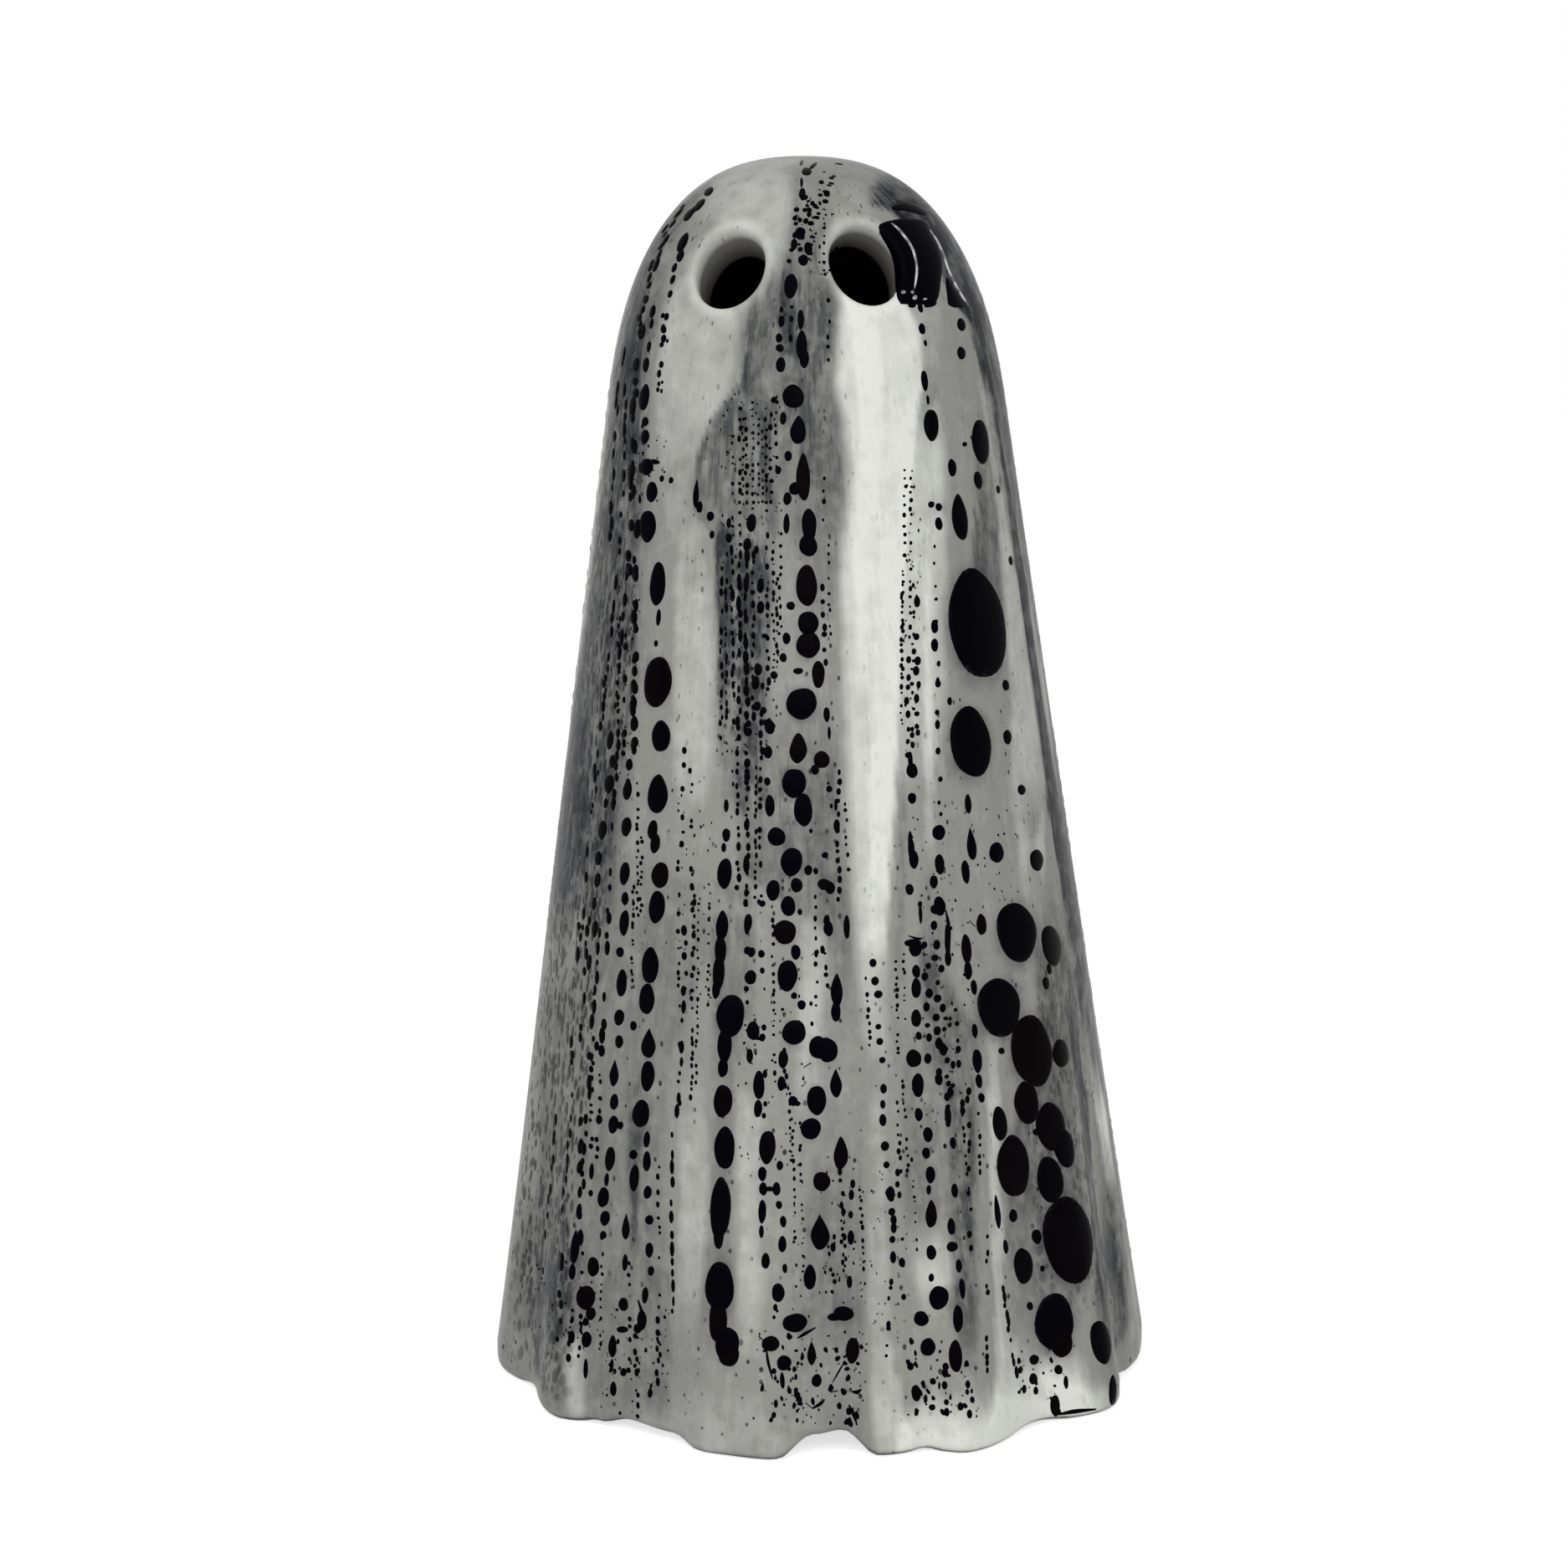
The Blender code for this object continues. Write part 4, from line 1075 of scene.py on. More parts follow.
def addDome(relief, outline, land, height, tone):
    last = None
    for share, rise, edge in dropShape["rings"]:
        if share == 0.0:
            place, normal = land(0.0, 0.0)
            top = relief.point(place + normal * height * rise, edge, tone)
            for k in range(len(last)):
                relief.faces.append((last[k], last[(k + 1) % len(last)], top))
            return
        now = []
        for u, v in outline:
            place, normal = land(u * share, v * share)
            sink = height * rise if rise > 0 else rise * mm
            now.append(relief.point(place + normal * sink, edge, tone))
        if last:
            relief.rows(last, now, True)
        last = now


def dropOutline(chance, narrow):              # a rounded drop, v up, narrower at its top if told
    phases = [chance.uniform(0, 2 * pi) for _ in range(3)]
    outline = []
    for k in range(dropShape["sides"]):
        turn = 2 * pi * k / dropShape["sides"]
        reach = dropShape["overreach"]
        for order, phase in zip((2, 3, 5), phases):
            reach += dropShape["wobble"] * sin(order * turn + phase) / order
        u, v = cos(turn) * reach, sin(turn) * reach
        u *= 1 - narrow * max((v + 0.35) / 1.35, 0.0) ** 1.4
        outline.append((u, v))
    return outline


def domeHeight(halfWidth):
    return min(halfWidth * dropShape["height"] + dropShape["base"], dropShape["mostHeight"])


def seenDrop(relief, chance, x, y, halfWidth, halfHeight, narrow=0.0, over=0.0):
    place, normal = skinUnder(x, y)
    below = pixelOf(place + runDirection(normal) * mm)
    lean = atan2(below[0] - x, below[1] - y)  # the way the glaze ran, as the camera sees it

    def land(u, v):
        across, up = u * halfWidth, v * halfHeight
        return skinUnder(
            x + across * cos(lean) - up * sin(lean), y - across * sin(lean) - up * cos(lean)
        )

    height = domeHeight((land(1, 0)[0] - land(-1, 0)[0]).length / 2) + over
    addDome(relief, dropOutline(chance, narrow), land, height, chance.random())


def hiddenDrop(relief, chance, azimuth, level, halfWidth, halfHeight, narrow=0.0):
    place, normal = skinAt(azimuth, level)
    if place is None:
        return
    down = runDirection(normal)
    across = down.cross(normal)

    def land(u, v):
        start = place + across * u * halfWidth - down * v * halfHeight + normal * 3 * mm
        spot, facing, _, _ = skinTree.ray_cast(start, -normal)
        return (spot, facing) if spot is not None else (place, normal)

    addDome(relief, dropOutline(chance, narrow), land, domeHeight(halfWidth), chance.random())


# Pools and hair lines: a band with a left and a right edge in the photograph, laid on the skin
def smoothRows(rows, count):
    rows = np.array(rows, dtype=float)
    run = np.arange(len(rows))
    fine = np.linspace(0, len(rows) - 1, count)
    out = []
    for column in rows.T:                     # a smooth curve through every row
        slopes = np.gradient(column)
        low = np.minimum(fine.astype(int), len(rows) - 2)
        t = fine - low
        a, b, p, q = column[low], column[low + 1], slopes[low], slopes[low + 1]
        out.append((2 * t**3 - 3 * t**2 + 1) * a + (t**3 - 2 * t**2 + t) * p
                   + (3 * t**2 - 2 * t**3) * b + (t**3 - t**2) * q)
    return np.array(out).T


def layBand(relief, rows, height, across=10, count=28, tone=0.5, taper=0.16, over=0.0):
    last = None
    for step, (leftX, leftY, rightX, rightY) in enumerate(smoothRows(rows, count)):
        along = step / (count - 1)
        ends = min(along / taper, (1 - along) / taper, 1.0) if taper else 1.0
        now = []
        for k in range(across + 1):
            share = k / across
            place, normal = skinUnder(leftX + (rightX - leftX) * share, leftY + (rightY - leftY) * share)
            dome = sqrt(max(4 * share * (1 - share), 0.0)) * sqrt(max(ends * (2 - ends), 0.0))
            lift = over - dropShape["base"] if dome < 0.01 else over + height * dome
            now.append(relief.point(place + normal * lift, 1 - min(dome * 1.6, 1.0), tone))
        if last:
            relief.rows(now, last, False)
        last = now


def layLine(relief, path, halfWidth, height, over=0.0):
    rows = []
    for k, (x, y) in enumerate(path):
        after, before = path[min(k + 1, len(path) - 1)], path[max(k - 1, 0)]
        dx, dy = after[0] - before[0], after[1] - before[1]
        wide = halfWidth * (0.35 if k in (0, len(path) - 1) else 1.0) / hypot(dx, dy)
        row = (x + dy * wide, y - dx * wide, x - dy * wide, y + dx * wide)
        rows.append(row if row[0] <= row[2] else (*row[2:], *row[:2]))
    layBand(relief, rows, height, across=4, count=6 * len(path), over=over)


# Glaze that pooled beside the ghost's left eye: one black pool, and on it and past it thin pale lines and
# glints that are painted reflections. Rows give a left and a right edge in pixels, and a line starts with its
# half width.
pool = {
    "height": 0.30 * mm, "reflectionHeight": 0.10 * mm, "reflectionOver": 0.30 * mm,
    "rows": ((1062, 264, 1080, 260), (1050, 269, 1107, 264), (1051, 280, 1114, 277),
             (1058, 292, 1121, 290), (1064, 304, 1125, 303), (1068, 320, 1127, 320),
             (1069, 337, 1125, 337), (1071, 354, 1123, 352), (1076, 364, 1118, 365)),
    "corner": ((1130, 330, 1132, 330), (1130, 342, 1139, 341), (1131, 354, 1147, 353),
               (1132, 364, 1154, 365), (1140, 368, 1152, 368)),
    "lens": ((1064, 247, 1066, 252), (1080, 241, 1082, 253), (1098, 245, 1097, 257),
             (1111, 253, 1108, 259)),
    "innerReflection": (1.5, (1064, 268), (1073, 276), (1081, 286), (1088, 297), (1092, 309), (1094, 322),
                  (1093, 335), (1091, 347)),
    "outerReflection": (1.5, (1103, 267), (1112, 277), (1121, 290), (1128, 305), (1133, 321), (1141, 338),
                  (1150, 354), (1158, 366)),
    "glints": ((1079, 350, 3, 2.4), (1089, 350, 3, 3), (1092, 356, 4, 3.4), (1104, 358, 3, 1.6)),
    "drips": ((1090, 364, 5, 4), (1112, 364, 8, 3)),
}

# Fine dark lines: half width, then the pixels that the line passes
hairLines = (
    (2.6, (976, 1586), (962, 1594), (952, 1600)), (3.0, (1024, 1598), (1018, 1612), (1008, 1624)),
    (1.6, (1010, 1626), (1002, 1640), (994, 1654)),
    (3.0, (992, 1664), (1002, 1662)), (3.4, (1012, 1662), (1024, 1664), (1030, 1660)),
    (3.0, (970, 1684), (980, 1678), (986, 1672)), (3.0, (1014, 1678), (1020, 1690), (1024, 1702)),
    (4.0, (1022, 1692), (1024, 1704)), (2.4, (972, 1684), (962, 1676)),
    (2.4, (916, 1610), (918, 1628), (924, 1650)), (3.0, (906, 1596), (914, 1604)),
    (3.4, (890, 1230), (904, 1240), (912, 1242)), (2.0, (892, 1250), (896, 1268), (900, 1272)),
    (5.0, (1258, 1668), (1262, 1682), (1268, 1690)), (3.6, (1262, 1691), (1284, 1687), (1312, 1684)),
    (2.2, (700, 1572), (694, 1590), (702, 1600)), (2.6, (736, 1588), (748, 1590)),
    (3.2, (762, 1552), (768, 1574), (764, 1592)), (2.0, (1084, 1118), (1098, 1122), (1106, 1120)),
    (2.2, (1158, 1100), (1166, 1108)), (3.0, (1130, 1086), (1134, 1110), (1134, 1150)),
    (2.6, (1163, 530), (1160, 520)), (2.4, (970, 236), (964, 244)), (2.0, (978, 1134), (970, 1142)),
    (2.4, (970, 1270), (960, 1276)),
)

# Spatter: patches of the photograph strewn with small angular specks, as left, top, right, bottom,
# how many, and the largest half width in pixels
spatter = {
    "seed": 31, "sides": 11, "wobble": 0.3, "least": 0.9,
    "patches": (
        (940, 1590, 1036, 1706, 70, 4.2), (900, 1560, 960, 1700, 26, 2.8), (1084, 1600, 1168, 1700, 52, 3.4),
        (1216, 1590, 1290, 1676, 26, 2.6), (716, 1560, 800, 1690, 60, 2.4), (640, 1500, 716, 1630, 40, 1.8),
        (945, 1380, 1034, 1580, 60, 1.7), (1040, 1400, 1084, 1600, 34, 1.5), (880, 1180, 960, 1420, 50, 1.6),
        (810, 930, 852, 1200, 40, 1.6), (1078, 540, 1100, 900, 40, 1.5), (860, 470, 935, 640, 60, 1.5),
        (860, 650, 935, 900, 60, 1.5), (950, 230, 1000, 330, 26, 2.2), (1090, 1060, 1170, 1380, 70, 1.7),
        (740, 520, 800, 600, 22, 1.7), (1080, 960, 1230, 1090, 40, 1.5), (735, 700, 765, 940, 40, 1.7),
    ),
}


def strewSpecks(relief):
    chance, smooth = Random(spatter["seed"]), dict(dropShape)
    dropShape.update(sides=spatter["sides"], wobble=spatter["wobble"])
    for left, top, right, bottom, count, most in spatter["patches"]:
        for _ in range(count):
            halfWidth = spatter["least"] + (most - spatter["least"]) * chance.random() ** 2.5
            seenDrop(relief, chance, chance.uniform(left, right), chance.uniform(top, bottom), halfWidth,
                     halfWidth * chance.uniform(0.8, 1.9), chance.choice((0.0, 0.4)))
    dropShape.update(smooth)


def makeDrops(material):
    relief, chance = Relief(), Random(seeds["drops"])
    for group in drops.values():
        for drop in group:
            seenDrop(relief, chance, *drop)
    for x, y, halfWidth, halfHeight in pool["drips"]:
        seenDrop(relief, chance, x, y, halfWidth, halfHeight)
    strewSpecks(relief)
    for line in hairLines:
        layLine(relief, line[1:], line[0], 0.04 * mm)
    layBand(relief, pool["rows"], pool["height"], across=18, count=40)
    layBand(relief, pool["corner"], pool["height"] / 3, across=5, count=12)
    layBand(relief, pool["lens"], pool["height"] / 3, across=5, count=14, taper=0.4)
    return relief.finish("glaze_drops_front", material)


# the thin pale lines and glints on the pool: painted reflections
def makePaintedReflections(material):
    relief, chance = Relief(), Random(seeds["reflectionLines"])
    for name, over in (("innerReflection", pool["reflectionOver"]), ("outerReflection", 0.0)):
        halfWidth, *path = pool[name]
        layLine(relief, path, halfWidth, pool["reflectionHeight"], over=over)
    for glint in pool["glints"]:
        seenDrop(relief, chance, *glint, over=pool["reflectionOver"])
    return relief.finish("pale_glaze_lines", material)


# Back and sides, which the photograph doesn't show: the same kinds of run, by rule
backRuns = {
    "from": 90, "to": 270, "seed": 23, "topMost": 0.141,
    "bigColumns": 9, "bigSizes": (0.7, 0.9, 1.0, 1.3, 1.7), "bigTop": 0.085, "bigLowest": 0.008,
    "step": 3.1, "stringTop": 0.095, "halfWidths": (0.16, 0.2, 0.24, 0.3, 0.42),
}


def makeBackDrops(material):
    relief, chance = Relief(), Random(backRuns["seed"])
    span = backRuns["to"] - backRuns["from"]
    for column in range(backRuns["bigColumns"]):
        azimuth = backRuns["from"] + span * (column + chance.uniform(0.25, 0.75)) / backRuns["bigColumns"]
        size = chance.choice(backRuns["bigSizes"])
        level = chance.uniform(backRuns["bigTop"], backRuns["topMost"])
        while level > backRuns["bigLowest"] + 0.002:
            halfWidth = size * chance.uniform(0.55, 1.25) * mm
            halfHeight = halfWidth * chance.uniform(1.1, 2.3)
            level -= halfHeight
            if level > backRuns["bigLowest"]:
                hiddenDrop(relief, chance, azimuth + chance.uniform(-1.2, 1.2), level, halfWidth,
                           halfHeight, chance.choice((0.0, 0.0, 0.3, 0.6)))
            level -= halfHeight + chance.uniform(0.1, 1.6) * mm * chance.choice((0.5, 1, 2.5))
    return relief.finish("glaze_drops_back", material)


# Small beads: instanced along their strings by Geometry Nodes
beadShape = {"Thickness": 0.17, "Wander": 0.18, "Size Spread": 0.28, "Length Spread": 0.45, "Jitter": 0.3}
beadBleed = 1.13                              # how much wider a bead is than it was read


def beadMesh():                               # a unit dome of nine sides
    sides, rings = 9, ((1.0, -0.12, 1.0), (0.72, 0.72, 0.3))
    points = [(r * cos(2 * pi * k / sides), r * sin(2 * pi * k / sides), z)
              for r, z, _ in rings for k in range(sides)]
    points.append((0.0, 0.0, 1.0))
    faces = [(k, (k + 1) % sides, sides + (k + 1) % sides, sides + k) for k in range(sides)]
    faces += [(sides + k, sides + (k + 1) % sides, 2 * sides) for k in range(sides)]
    mesh = bpy.data.meshes.new("one_bead")
    mesh.from_pydata(points, [], faces)
    setAttribute(mesh, "edge", [edge for _, _, edge in rings for _ in range(sides)] + [0.0])
    return bpy.data.objects.new("one_bead", mesh)


def stringTree():
    tree, graph, given = newTree("string the beads", beadShape, {
        "Bead": ("Object", None), "Seed": ("Int", 1), "Material": ("Material", None)
    })

    def chance(low, high, offset):            # a random number for each bead; the offset tells them apart
        node = tree.nodes.new("FunctionNodeRandomValue")
        node.data_type = "FLOAT"
        for name, value in (("Min", low), ("Max", high)):
            socket = next(s for s in node.inputs if s.name == name and s.type == "VALUE")
            if isinstance(value, Wire):
                graph.link(value, socket)
            else:
                socket.default_value = value
        graph.link(given["Seed"] + offset, node.inputs["Seed"])
        return Wire(graph, next(s for s in node.outputs if s.type == "VALUE"))

    curve = graph.node("GeometryNodeMeshToCurve", {}, [given["Geometry"]])
    beads = graph.node("GeometryNodeResampleCurve", {"mode": "LENGTH"},
                       {"Curve": curve, "Length": namedValue(graph, "spacing")})
    toPoints = graph.node("GeometryNodeCurveToPoints", {"mode": "EVALUATED"}, [beads])
    tangent = toPoints.other("Tangent")
    normal = namedValue(graph, "skinNormal", "FLOAT_VECTOR")
    spacing, size = namedValue(graph, "spacing"), namedValue(graph, "halfWidth")
    side = graph.node("ShaderNodeVectorMath", {"operation": "CROSS_PRODUCT"}, [tangent, normal])
    slide = graph.node("ShaderNodeVectorMath", {"operation": "SCALE"},
                       {"Vector": tangent, "Scale": spacing * chance(-1.0, 1.0, 1) * given["Jitter"]})
    drift = graph.node("ShaderNodeVectorMath", {"operation": "SCALE"},
                       {"Vector": side, "Scale": size * chance(-3.0, 3.0, 2) * given["Wander"]})
    offset = graph.node("ShaderNodeVectorMath", {"operation": "ADD"}, [slide, drift])
    moved = graph.node("GeometryNodeSetPosition", {}, {"Geometry": toPoints, "Offset": offset})
    gone = graph.node("FunctionNodeCompare", {"data_type": "FLOAT", "operation": "LESS_THAN"},
                      [chance(0.0, 1.0, 3), namedValue(graph, "missing")])
    kept = graph.node("GeometryNodeDeleteGeometry", {"domain": "POINT"},
                      {"Geometry": moved, "Selection": gone})
    turn = graph.node("FunctionNodeAxesToRotation", {"primary_axis": "Z", "secondary_axis": "Y"},
                      [normal, tangent])
    girth = size * (1.0 + chance(-1.0, 1.0, 4) * given["Size Spread"])
    length = girth * namedValue(graph, "longer") * (1.0 + chance(-0.6, 1.0, 5) * given["Length Spread"])
    scale = graph.node("ShaderNodeCombineXYZ", {}, [girth, length, girth * given["Thickness"]])
    bead = graph.node("GeometryNodeObjectInfo", {}, {"Object": given["Bead"]}, output="Geometry")
    placed = graph.node("GeometryNodeInstanceOnPoints", {},
                        {"Points": kept, "Instance": bead, "Rotation": turn, "Scale": scale})
    toned = graph.node("GeometryNodeStoreNamedAttribute", {"data_type": "FLOAT", "domain": "INSTANCE"},
                       {"Geometry": placed, "Name": "tone", "Value": chance(0.0, 1.0, 6)})
    smooth = graph.node("GeometryNodeSetShadeSmooth", {}, [toned])
    closeTree(graph, smooth, given["Material"])
    return tree


class StringPaths:
    def __init__(self):
        self.points, self.edges, self.values = [], [], []

    def add(self, places, halfWidth, spacing, longer, missing):
        start = len(self.points)
        for place, normal in places:
            self.points.append(place)
            self.values.append((*normal, halfWidth, spacing, longer, missing))
        self.edges += [(k, k + 1) for k in range(start, len(self.points) - 1)]

    def bead(self, name, material, seed):
        mesh = bpy.data.meshes.new(name)
        mesh.from_pydata(self.points, self.edges, [])
        values = np.array(self.values)
        setAttribute(mesh, "skinNormal", values[:, :3])
        for column, label in enumerate(("halfWidth", "spacing", "longer", "missing"), 3):
            setAttribute(mesh, label, values[:, column])
        piece = bpy.data.objects.new(name, mesh)
        collection.objects.link(piece)
        bead = beadMesh()
        collection.objects.link(bead)
        applyTree(piece, stringTree(), {"Bead": bead, "Seed": seed, "Material": material, **beadShape})
        bpy.data.objects.remove(bead)
        return piece


def pixelSize(x, y):                          # metres across one pixel of the photograph, there
    return (skinUnder(x, y)[0] - eyePoint).dot(ahead) / photo["focalPixels"]


def frontStrings(material):
    paths, pixelStep, leastTurn, shorter = StringPaths(), 12, 0.35, 0.7
    for group in strings.values():
        for halfWidth, spacing, longer, missing, (x1, y1), (x2, y2) in group:
            count = max(int(hypot(x2 - x1, y2 - y1) / pixelStep), 2)
            places = [skinUnder(x1 + (x2 - x1) * k / count, y1 + (y2 - y1) * k / count)
                      for k in range(count + 1)]
            pixel = pixelSize(x1, y1)
            away = (places[0][0] - eyePoint).normalized()
            flat = Vector(places[0][1]).cross(Vector((0, 0, 1))).normalized()
            wider = beadBleed / max(abs(flat.cross(away).length), leastTurn)
            longer = longer / wider ** shorter
            paths.add(places, halfWidth * pixel * wider, spacing * pixel, longer, missing)
    return paths.bead("glaze_beads_front", material, seeds["frontBeads"])


def backStrings(material):
    paths, chance = StringPaths(), Random(backRuns["seed"] + 1)
    azimuth = backRuns["from"] - 2.0
    while azimuth < backRuns["to"]:
        azimuth += backRuns["step"] * chance.uniform(0.35, 1.3)
        level = chance.uniform(backRuns["stringTop"], backRuns["topMost"] + 0.004)
        floor = chance.uniform(0.006, 0.02)
        while level > floor + 0.01:
            end = max(level - chance.uniform(0.015, 0.05), floor)
            count = max(int((level - end) / (2 * mm)), 2)
            drift = chance.uniform(-0.6, 0.6)
            places = [skinAt(azimuth + drift, level + (end - level) * k / count) for k in range(count + 1)]
            if all(place is not None for place, _ in places):
                halfWidth = chance.choice(backRuns["halfWidths"]) * mm
                paths.add(places, halfWidth, halfWidth * chance.uniform(4.5, 7.5),
                          chance.uniform(1.2, 2.2), chance.uniform(0.1, 0.4))
            level = end - chance.uniform(0.0, 0.008)
    return paths.bead("glaze_beads_back", material, seeds["backBeads"])


# Where the skin lies in the photograph, and the washes on it
skin = {
    "x": skinPlaces[:, 0] - skinShift[0] - ghost["lean"] * skinPlaces[:, 2] / ghost["height"],
    "y": skinPlaces[:, 1] - skinShift[1],
    "z": skinPlaces[:, 2],
}
skinAzimuth = np.degrees(np.arctan2(skin["x"], -skin["y"]))
skinRadius = np.hypot(skin["x"], skin["y"])


def runAlong():                               # how far a point is from the crown, along the skin
    radii, heights = bellProfile(bellOf(0.0))
    capRows, capLevel, capBlend = 40, 0.1445, 0.003       # up on the cap, the radius tells it better
    run = runLengths(radii, heights)
    byHeight = np.interp(-skin["z"], -heights, run) + (heights[-1] - skin["z"]).clip(0.0)
    byRadius = np.interp(skinRadius, radii[:capRows], run[:capRows])
    blend = ((skin["z"] - capLevel) / capBlend).clip(0.0, 1.0)
    return byHeight * (1 - blend) + byRadius * blend


# Darker grey round the bigger drops, most of it below them
dropHalo = {
    "leastPixels": 9, "fullPixels": 26, "reach": 1.5, "leastFacing": 0.4,
    "wide": 0.5 * mm, "tall": 0.6 * mm, "drop": 0.35 * mm,
}


def haloField():
    total = np.zeros(len(skinAzimuth))
    for group in drops.values():
        for x, y, halfWidth, halfHeight, *_ in group:
            if halfWidth < dropHalo["leastPixels"]:
                continue
            place, normal = skinUnder(x, y)
            pixel = pixelSize(x, y)
            wide = halfWidth * pixel / max(abs(normal.y), dropHalo["leastFacing"])
            tall = halfHeight * pixel
            across = (skinAzimuth - bearing(place)) * pi / 180 * skinRadius / (wide + dropHalo["wide"])
            along = (place.z - skin["z"] - dropHalo["drop"]) / (tall + dropHalo["tall"])
            near = (dropHalo["reach"] - np.hypot(across, along)).clip(0.0, 1.0)
            total = np.maximum(total, near * min(halfWidth / dropHalo["fullPixels"], 1.0))
    return total


def eyeDistance():                            # mm from the edge of the nearer eye hole
    farOff, sameSide = 20.0, 0.012
    nearest = np.full(len(skinAzimuth), farOff)
    for eye in ghost["eyes"].values():
        centre, _, across, level, up, _ = eyeFrame(*eye)
        gap = np.stack((skin["x"], skin["y"], skin["z"]), axis=1) - centre
        shares = np.hypot(gap @ across / ghost["eyeHalfWidth"], gap @ level / ghost["eyeHalfHeight"])
        apart = (shares - 1) * ghost["eyeHalfWidth"] / mm
        beside = np.abs(gap @ np.cross(across, up)) < sameSide
        nearest = np.minimum(nearest, np.where(beside, apart, farOff))
    return nearest


def paintSkin():                              # everything that the glaze's material reads from the mesh
    mesh, turn = shell.data, np.radians(skinAzimuth)
    tube, sideEdge, sideSoft = 0.03, 80.0, 8.0            # the photograph stops at this azimuth
    flow = np.stack((np.sin(turn) * tube, -np.cos(turn) * tube, runAlong()), axis=1)
    setAttribute(mesh, "flow", flow)          # places on a straight tube, so that streaks run down the skin
    for name, bands in washes.items():
        setAttribute(mesh, name, washField(bands, skinAzimuth, skin["z"], skinRadius))
    setAttribute(mesh, "unseen", easeStep(np.abs(skinAzimuth) - sideEdge, sideSoft))
    setAttribute(mesh, "halo", haloField())
    setAttribute(mesh, "eyeGap", eyeDistance())
    lift = np.array([max(hemWave(azimuth)[1], 0.0) for azimuth in skinAzimuth])
    setAttribute(mesh, "overHem", (skin["z"] - lift * (1 - skin["z"] / ghost["liftTop"]).clip(0) ** 2) / mm)


# Finishes: colours as read on screen, then the noises of the glaze. The pale and grey colours carry painted
# highlight and shade as well as glaze, and the bore and inside colours are painted shade. A noise in the flow
# is how far it is squeezed along the run, its scale, detail and roughness; the others lie evenly.
glazeLook = {
    "base": (152, 152, 147), "pale": (232, 234, 227), "grey": (98, 99, 97), "dark": (52, 54, 60),
    # the bore and deep bore colours are painted shade in the eye holes and at the foot, and inside is painted
    # shade over the whole inside
    "deepest": (20, 21, 27), "boreShade": (98, 97, 92), "deepBoreShade": (50, 47, 43), "inside": (34, 28, 25),
    "hemLine": (38, 42, 50), "fleck": (38, 38, 43),
}
flowNoises = {
    "fine": (0.05, 1500.0, 3.0, 0.6), "broad": (0.10, 330.0, 2.0, 0.5), "wide": (0.16, 110.0, 2.0, 0.5),
    "ragged": (0.25, 620.0, 3.0, 0.65), "strand": (0.05, 480.0, 1.0, 0.5),
}
evenNoises = {"cloud": 160.0, "smudge": 420.0}
beadLook = {"cool": (2, 2, 8), "warm": (7, 4, 6), "thin": (46, 46, 50), "cloud": 900.0}
# colours of the painted reflections on the pool
reflectionLook = {"dark": (92, 92, 102), "light": (196, 196, 200), "cloud": 1200.0}
glazeDots = {"grit": (0.42, 1500.0, 0.62), "pepper": (0.6, 1000.0, 0.22)}           # squeeze, scale, size


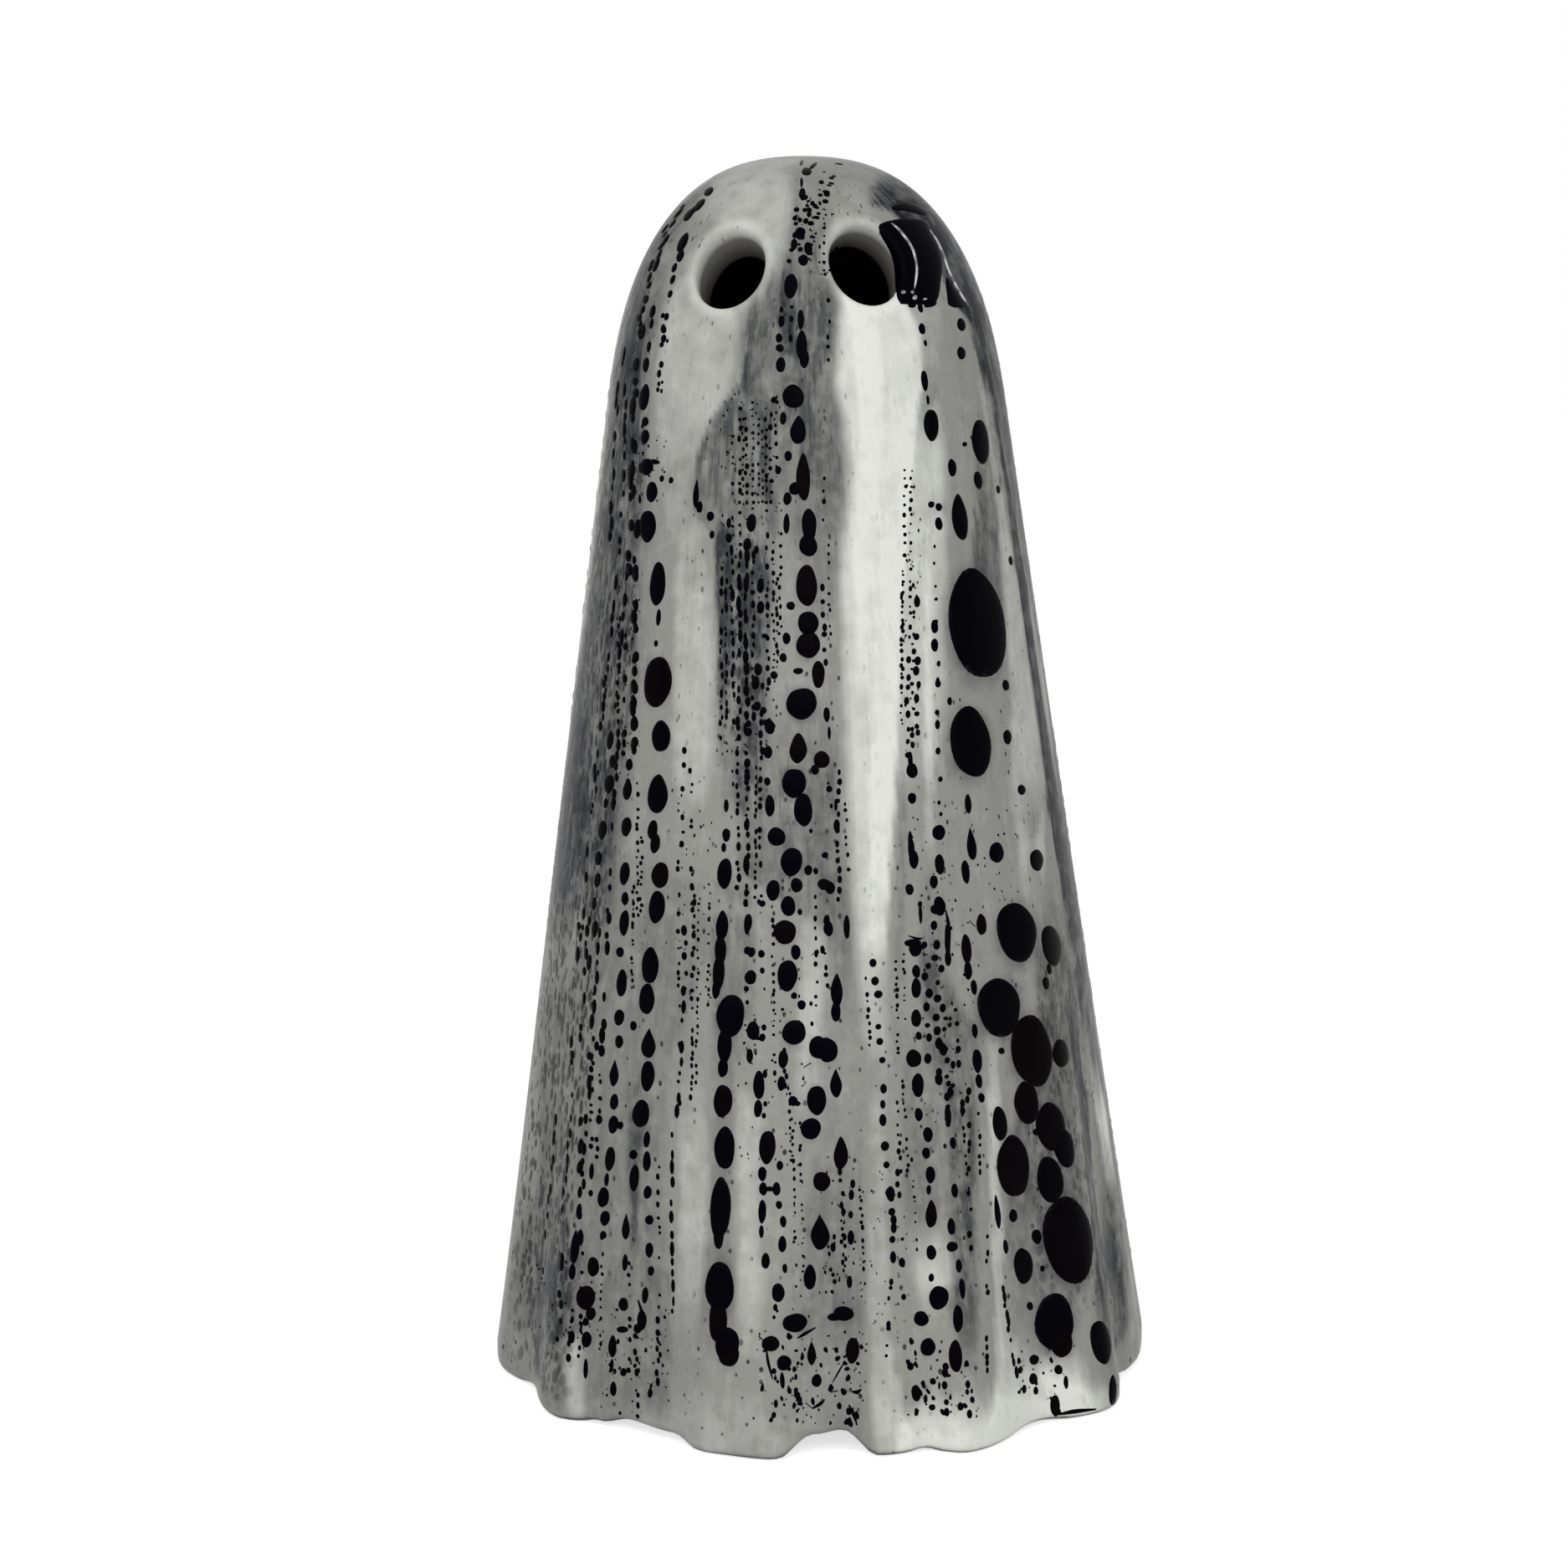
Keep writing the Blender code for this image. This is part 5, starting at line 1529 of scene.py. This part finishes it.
def finishGlaze():
    graph, sockets = glazeGraph, glazeSockets
    colors = {name: glazeColor(*value) for name, value in glazeLook.items()}
    flow = graph.attribute("flow", 1)
    pale, grey, flecks, unseen, halo, inward, eyeGap, overHem = (
        graph.attribute(name)
        for name in ("pale", "grey", "flecks", "unseen", "halo", "inward", "eyeGap", "overHem")
    )
    fine, broad, wide, ragged, strand = (
        graph.noise(graph.scaled(flow, (1.0, 1.0, squeeze)), *settings)
        for squeeze, *settings in flowNoises.values()
    )
    cloud, smudge = (graph.evenNoise(scale, 3.0) for scale in evenNoises.values())
    grit, pepper = (
        graph.dots(graph.scaled(flow, (1.0, 1.0, squeeze)), scale, size)
        for squeeze, scale, size in glazeDots.values()
    )
    run = graph.node("ShaderNodeSeparateXYZ", {}, [flow], output=2)       # metres from the crown
    fine = (fine - 0.5) * run.stepBetween(0.020, 0.045)
    smudge = smudge - 0.5
    grey = grey * (0.7 + ragged.stepBetween(0.36, 0.62) * 0.6)
    unseen = unseen * run.stepBetween(0.006, 0.030)
    hidden = unseen * (wide.stepBetween(0.42, 0.62) * 0.6 + broad.stepBetween(0.5, 0.66) * 0.4)
    hiddenPale = unseen * (1.0 - wide).stepBetween(0.5, 0.68) * 0.9

    # Washes, from the pale grey ground to the darkest, and then the white runs; the greys hold painted shade
    # in fold valleys and along the sides, and the white runs hold painted highlight on the ridges
    shade = grey * (1.0 + smudge * 1.2) + hidden + fine * 0.5 + (broad - 0.5) * 0.8 + (cloud - 0.5) * 1.1
    shade = shade + smudge * 0.9 - pale * 0.3 - hiddenPale * 0.4
    color = graph.mixColor((shade + 0.03).clamped(), colors["base"], colors["grey"])
    deep = (grey + hidden - 0.7 + fine * 1.6).stepBetween(0.0, 0.8)
    color = graph.mixColor(deep * 0.75, color, colors["dark"])
    deepest = (grey + fine * 1.5 + smudge * 2.0).stepBetween(1.4, 2.1)
    color = graph.mixColor(deepest, color, colors["deepest"])
    white = (pale + hiddenPale + (cloud - 0.5) * 0.5 + smudge * 0.7 + fine * 0.35).clamped()
    rim = 1.0 - eyeGap.stepBetween(0.3, 1.9)
    white = (white + rim * 0.3).clamped()
    color = graph.mixColor(white, color, colors["pale"])

    # Specks too small for beads, then the darker grey round the bigger drops
    strand = strand.stepBetween(0.44, 0.56)
    gritArea = (flecks * 1.2 + unseen * strand * 0.6 + smudge).clamped()
    color = graph.mixColor(grit * gritArea * 0.8, color, colors["fleck"])
    color = graph.mixColor(pepper * (strand + 0.15) * (1.0 - white) * 0.8, color, colors["fleck"])
    halo = (halo + smudge * 0.6).stepBetween(0.2, 0.95)
    color = graph.mixColor(halo * 0.75, color, colors["dark"])

    # Edges: the thin line at the hem, then painted shade that deepens with inward, on the bores, at the foot
    # and over the whole inside
    hem = 1.0 - (overHem + (cloud - 0.5) * 0.5).stepBetween(0.25, 0.75)
    color = graph.mixColor(hem * 0.85, color, colors["hemLine"])
    color = graph.mixColor(inward.stepBetween(0.0, 0.25) * 0.9, color, colors["boreShade"])
    color = graph.mixColor(inward.stepBetween(0.2, 0.9) * 0.8, color, colors["deepBoreShade"])
    color = graph.mixColor(inward.stepBetween(0.88, 0.96), color, colors["inside"])
    graph.link(color, sockets["Base Color"])
    graph.link(0.26 + cloud * 0.10, sockets["Roughness"])
    unevenness = {"Strength": 0.25, "Distance": 0.15 * mm, "Height": broad + cloud * 0.6}
    graph.link(graph.node("ShaderNodeBump", {}, unevenness), sockets["Normal"])


def makeBlackGlaze():                         # edge is 1 at the foot of a bead, where it is thin
    material, graph, sockets = newMaterial("black bead glaze", 0.12, 0.012)
    tone, edge = graph.attribute("tone"), graph.attribute("edge")
    cool, warm, thin = (glazeColor(*beadLook[name]) for name in ("cool", "warm", "thin"))
    cloud = graph.evenNoise(beadLook["cloud"], 2.0)
    color = graph.mixColor(tone.stepBetween(0.3, 1.0), cool, warm)
    color = graph.mixColor((edge * 0.8 + (cloud - 0.5)).stepBetween(0.5, 1.2), color, thin)
    graph.link(color, sockets["Base Color"])
    graph.link(0.07 + cloud * 0.12, sockets["Roughness"])
    return material


# material of the painted reflections on the pool
def makePaintedReflectionGlaze():
    material, graph, sockets = newMaterial("pale line glaze", 0.2, 0.4)
    dark, light = (glazeColor(*reflectionLook[name]) for name in ("dark", "light"))
    cloud = graph.evenNoise(reflectionLook["cloud"], 2.0).stepBetween(0.38, 0.62)
    graph.link(graph.mixColor(cloud, dark, light), sockets["Base Color"])
    return material


paintSkin()
finishGlaze()
print("skin painted")
blackGlaze = makeBlackGlaze()
pieces = [shell, makeDrops(blackGlaze), makePaintedReflections(makePaintedReflectionGlaze()), makeBackDrops(blackGlaze)]
print("drops laid:", [len(piece.data.polygons) for piece in pieces])
pieces += [frontStrings(blackGlaze), backStrings(blackGlaze)]
print("beads strung:", [len(piece.data.polygons) for piece in pieces[-2:]])
for piece in pieces:
    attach(piece, "root")


# Floor, world and lamps: a lamp is its place, size and power
studio = {
    "floorSize": 1.6, "floorShade": 0.82, "floorLift": 0.67, "worldLevel": 0.31,
    "lamps": {
        "key_lamp": ((-0.30, -0.70, 0.60), 1.2, 5.6),
        "fill_lamp": ((0.45, -0.65, 0.35), 1.0, 2.4),
    },
}


def backdropRays(graph):                      # 1 for a ray that should see the white backdrop
    camera = graph.node("ShaderNodeLightPath", output="Is Camera Ray")
    return camera.atLeast(camera.other("Is Glossy Ray")).atLeast(camera.other("Is Transmission Ray"))


def makeFloor():
    half = studio["floorSize"] / 2
    mesh = bpy.data.meshes.new("studio_floor")
    corners = [(-half, -half, 0), (half, -half, 0), (half, half, 0), (-half, half, 0)]
    mesh.from_pydata(corners, [], [(0, 1, 2, 3)])
    material = bpy.data.materials.new("pale studio floor")
    material.use_nodes = True
    graph = Graph(material.node_tree)
    graph.tree.nodes.clear()
    shade = studio["floorShade"]
    plain = graph.node("ShaderNodeBsdfDiffuse", {}, {"Color": (shade, shade, shade, 1.0)})
    lift = graph.node("ShaderNodeEmission", {}, {
        "Color": (1.0, 1.0, 1.0, 1.0), "Strength": backdropRays(graph) * studio["floorLift"]
    })
    both = graph.node("ShaderNodeAddShader", {}, [plain, lift])
    out = graph.tree.nodes.new("ShaderNodeOutputMaterial")
    graph.link(both, out.inputs["Surface"])
    mesh.materials.append(material)
    floor = bpy.data.objects.new("studio_floor", mesh)
    collection.objects.link(floor)


def makeWorld():
    world = bpy.data.worlds.new("studio_world")
    world.use_nodes = True
    scene.world = world
    seen = backdropRays(Graph(world.node_tree))
    background = world.node_tree.nodes["Background"]
    background.inputs["Color"].default_value = (1.0, 1.0, 1.0, 1.0)
    level = studio["worldLevel"] + seen * (1.0 - studio["worldLevel"])
    seen.graph.link(level, background.inputs["Strength"])


def makeLamp(name, place, size, power):
    lamp = bpy.data.objects.new(name, bpy.data.lights.new(name, "AREA"))
    lamp.data.size = size
    lamp.data.energy = power
    lamp.location = place
    lamp.rotation_euler = (Vector(photo["lookAt"]) - Vector(place)).to_track_quat("-Z", "Y").to_euler()
    collection.objects.link(lamp)


makeFloor()
makeWorld()
for name, (place, size, power) in studio["lamps"].items():
    makeLamp(name, place, size, power)
scene.view_settings.view_transform = "Standard"
print("studio lit")
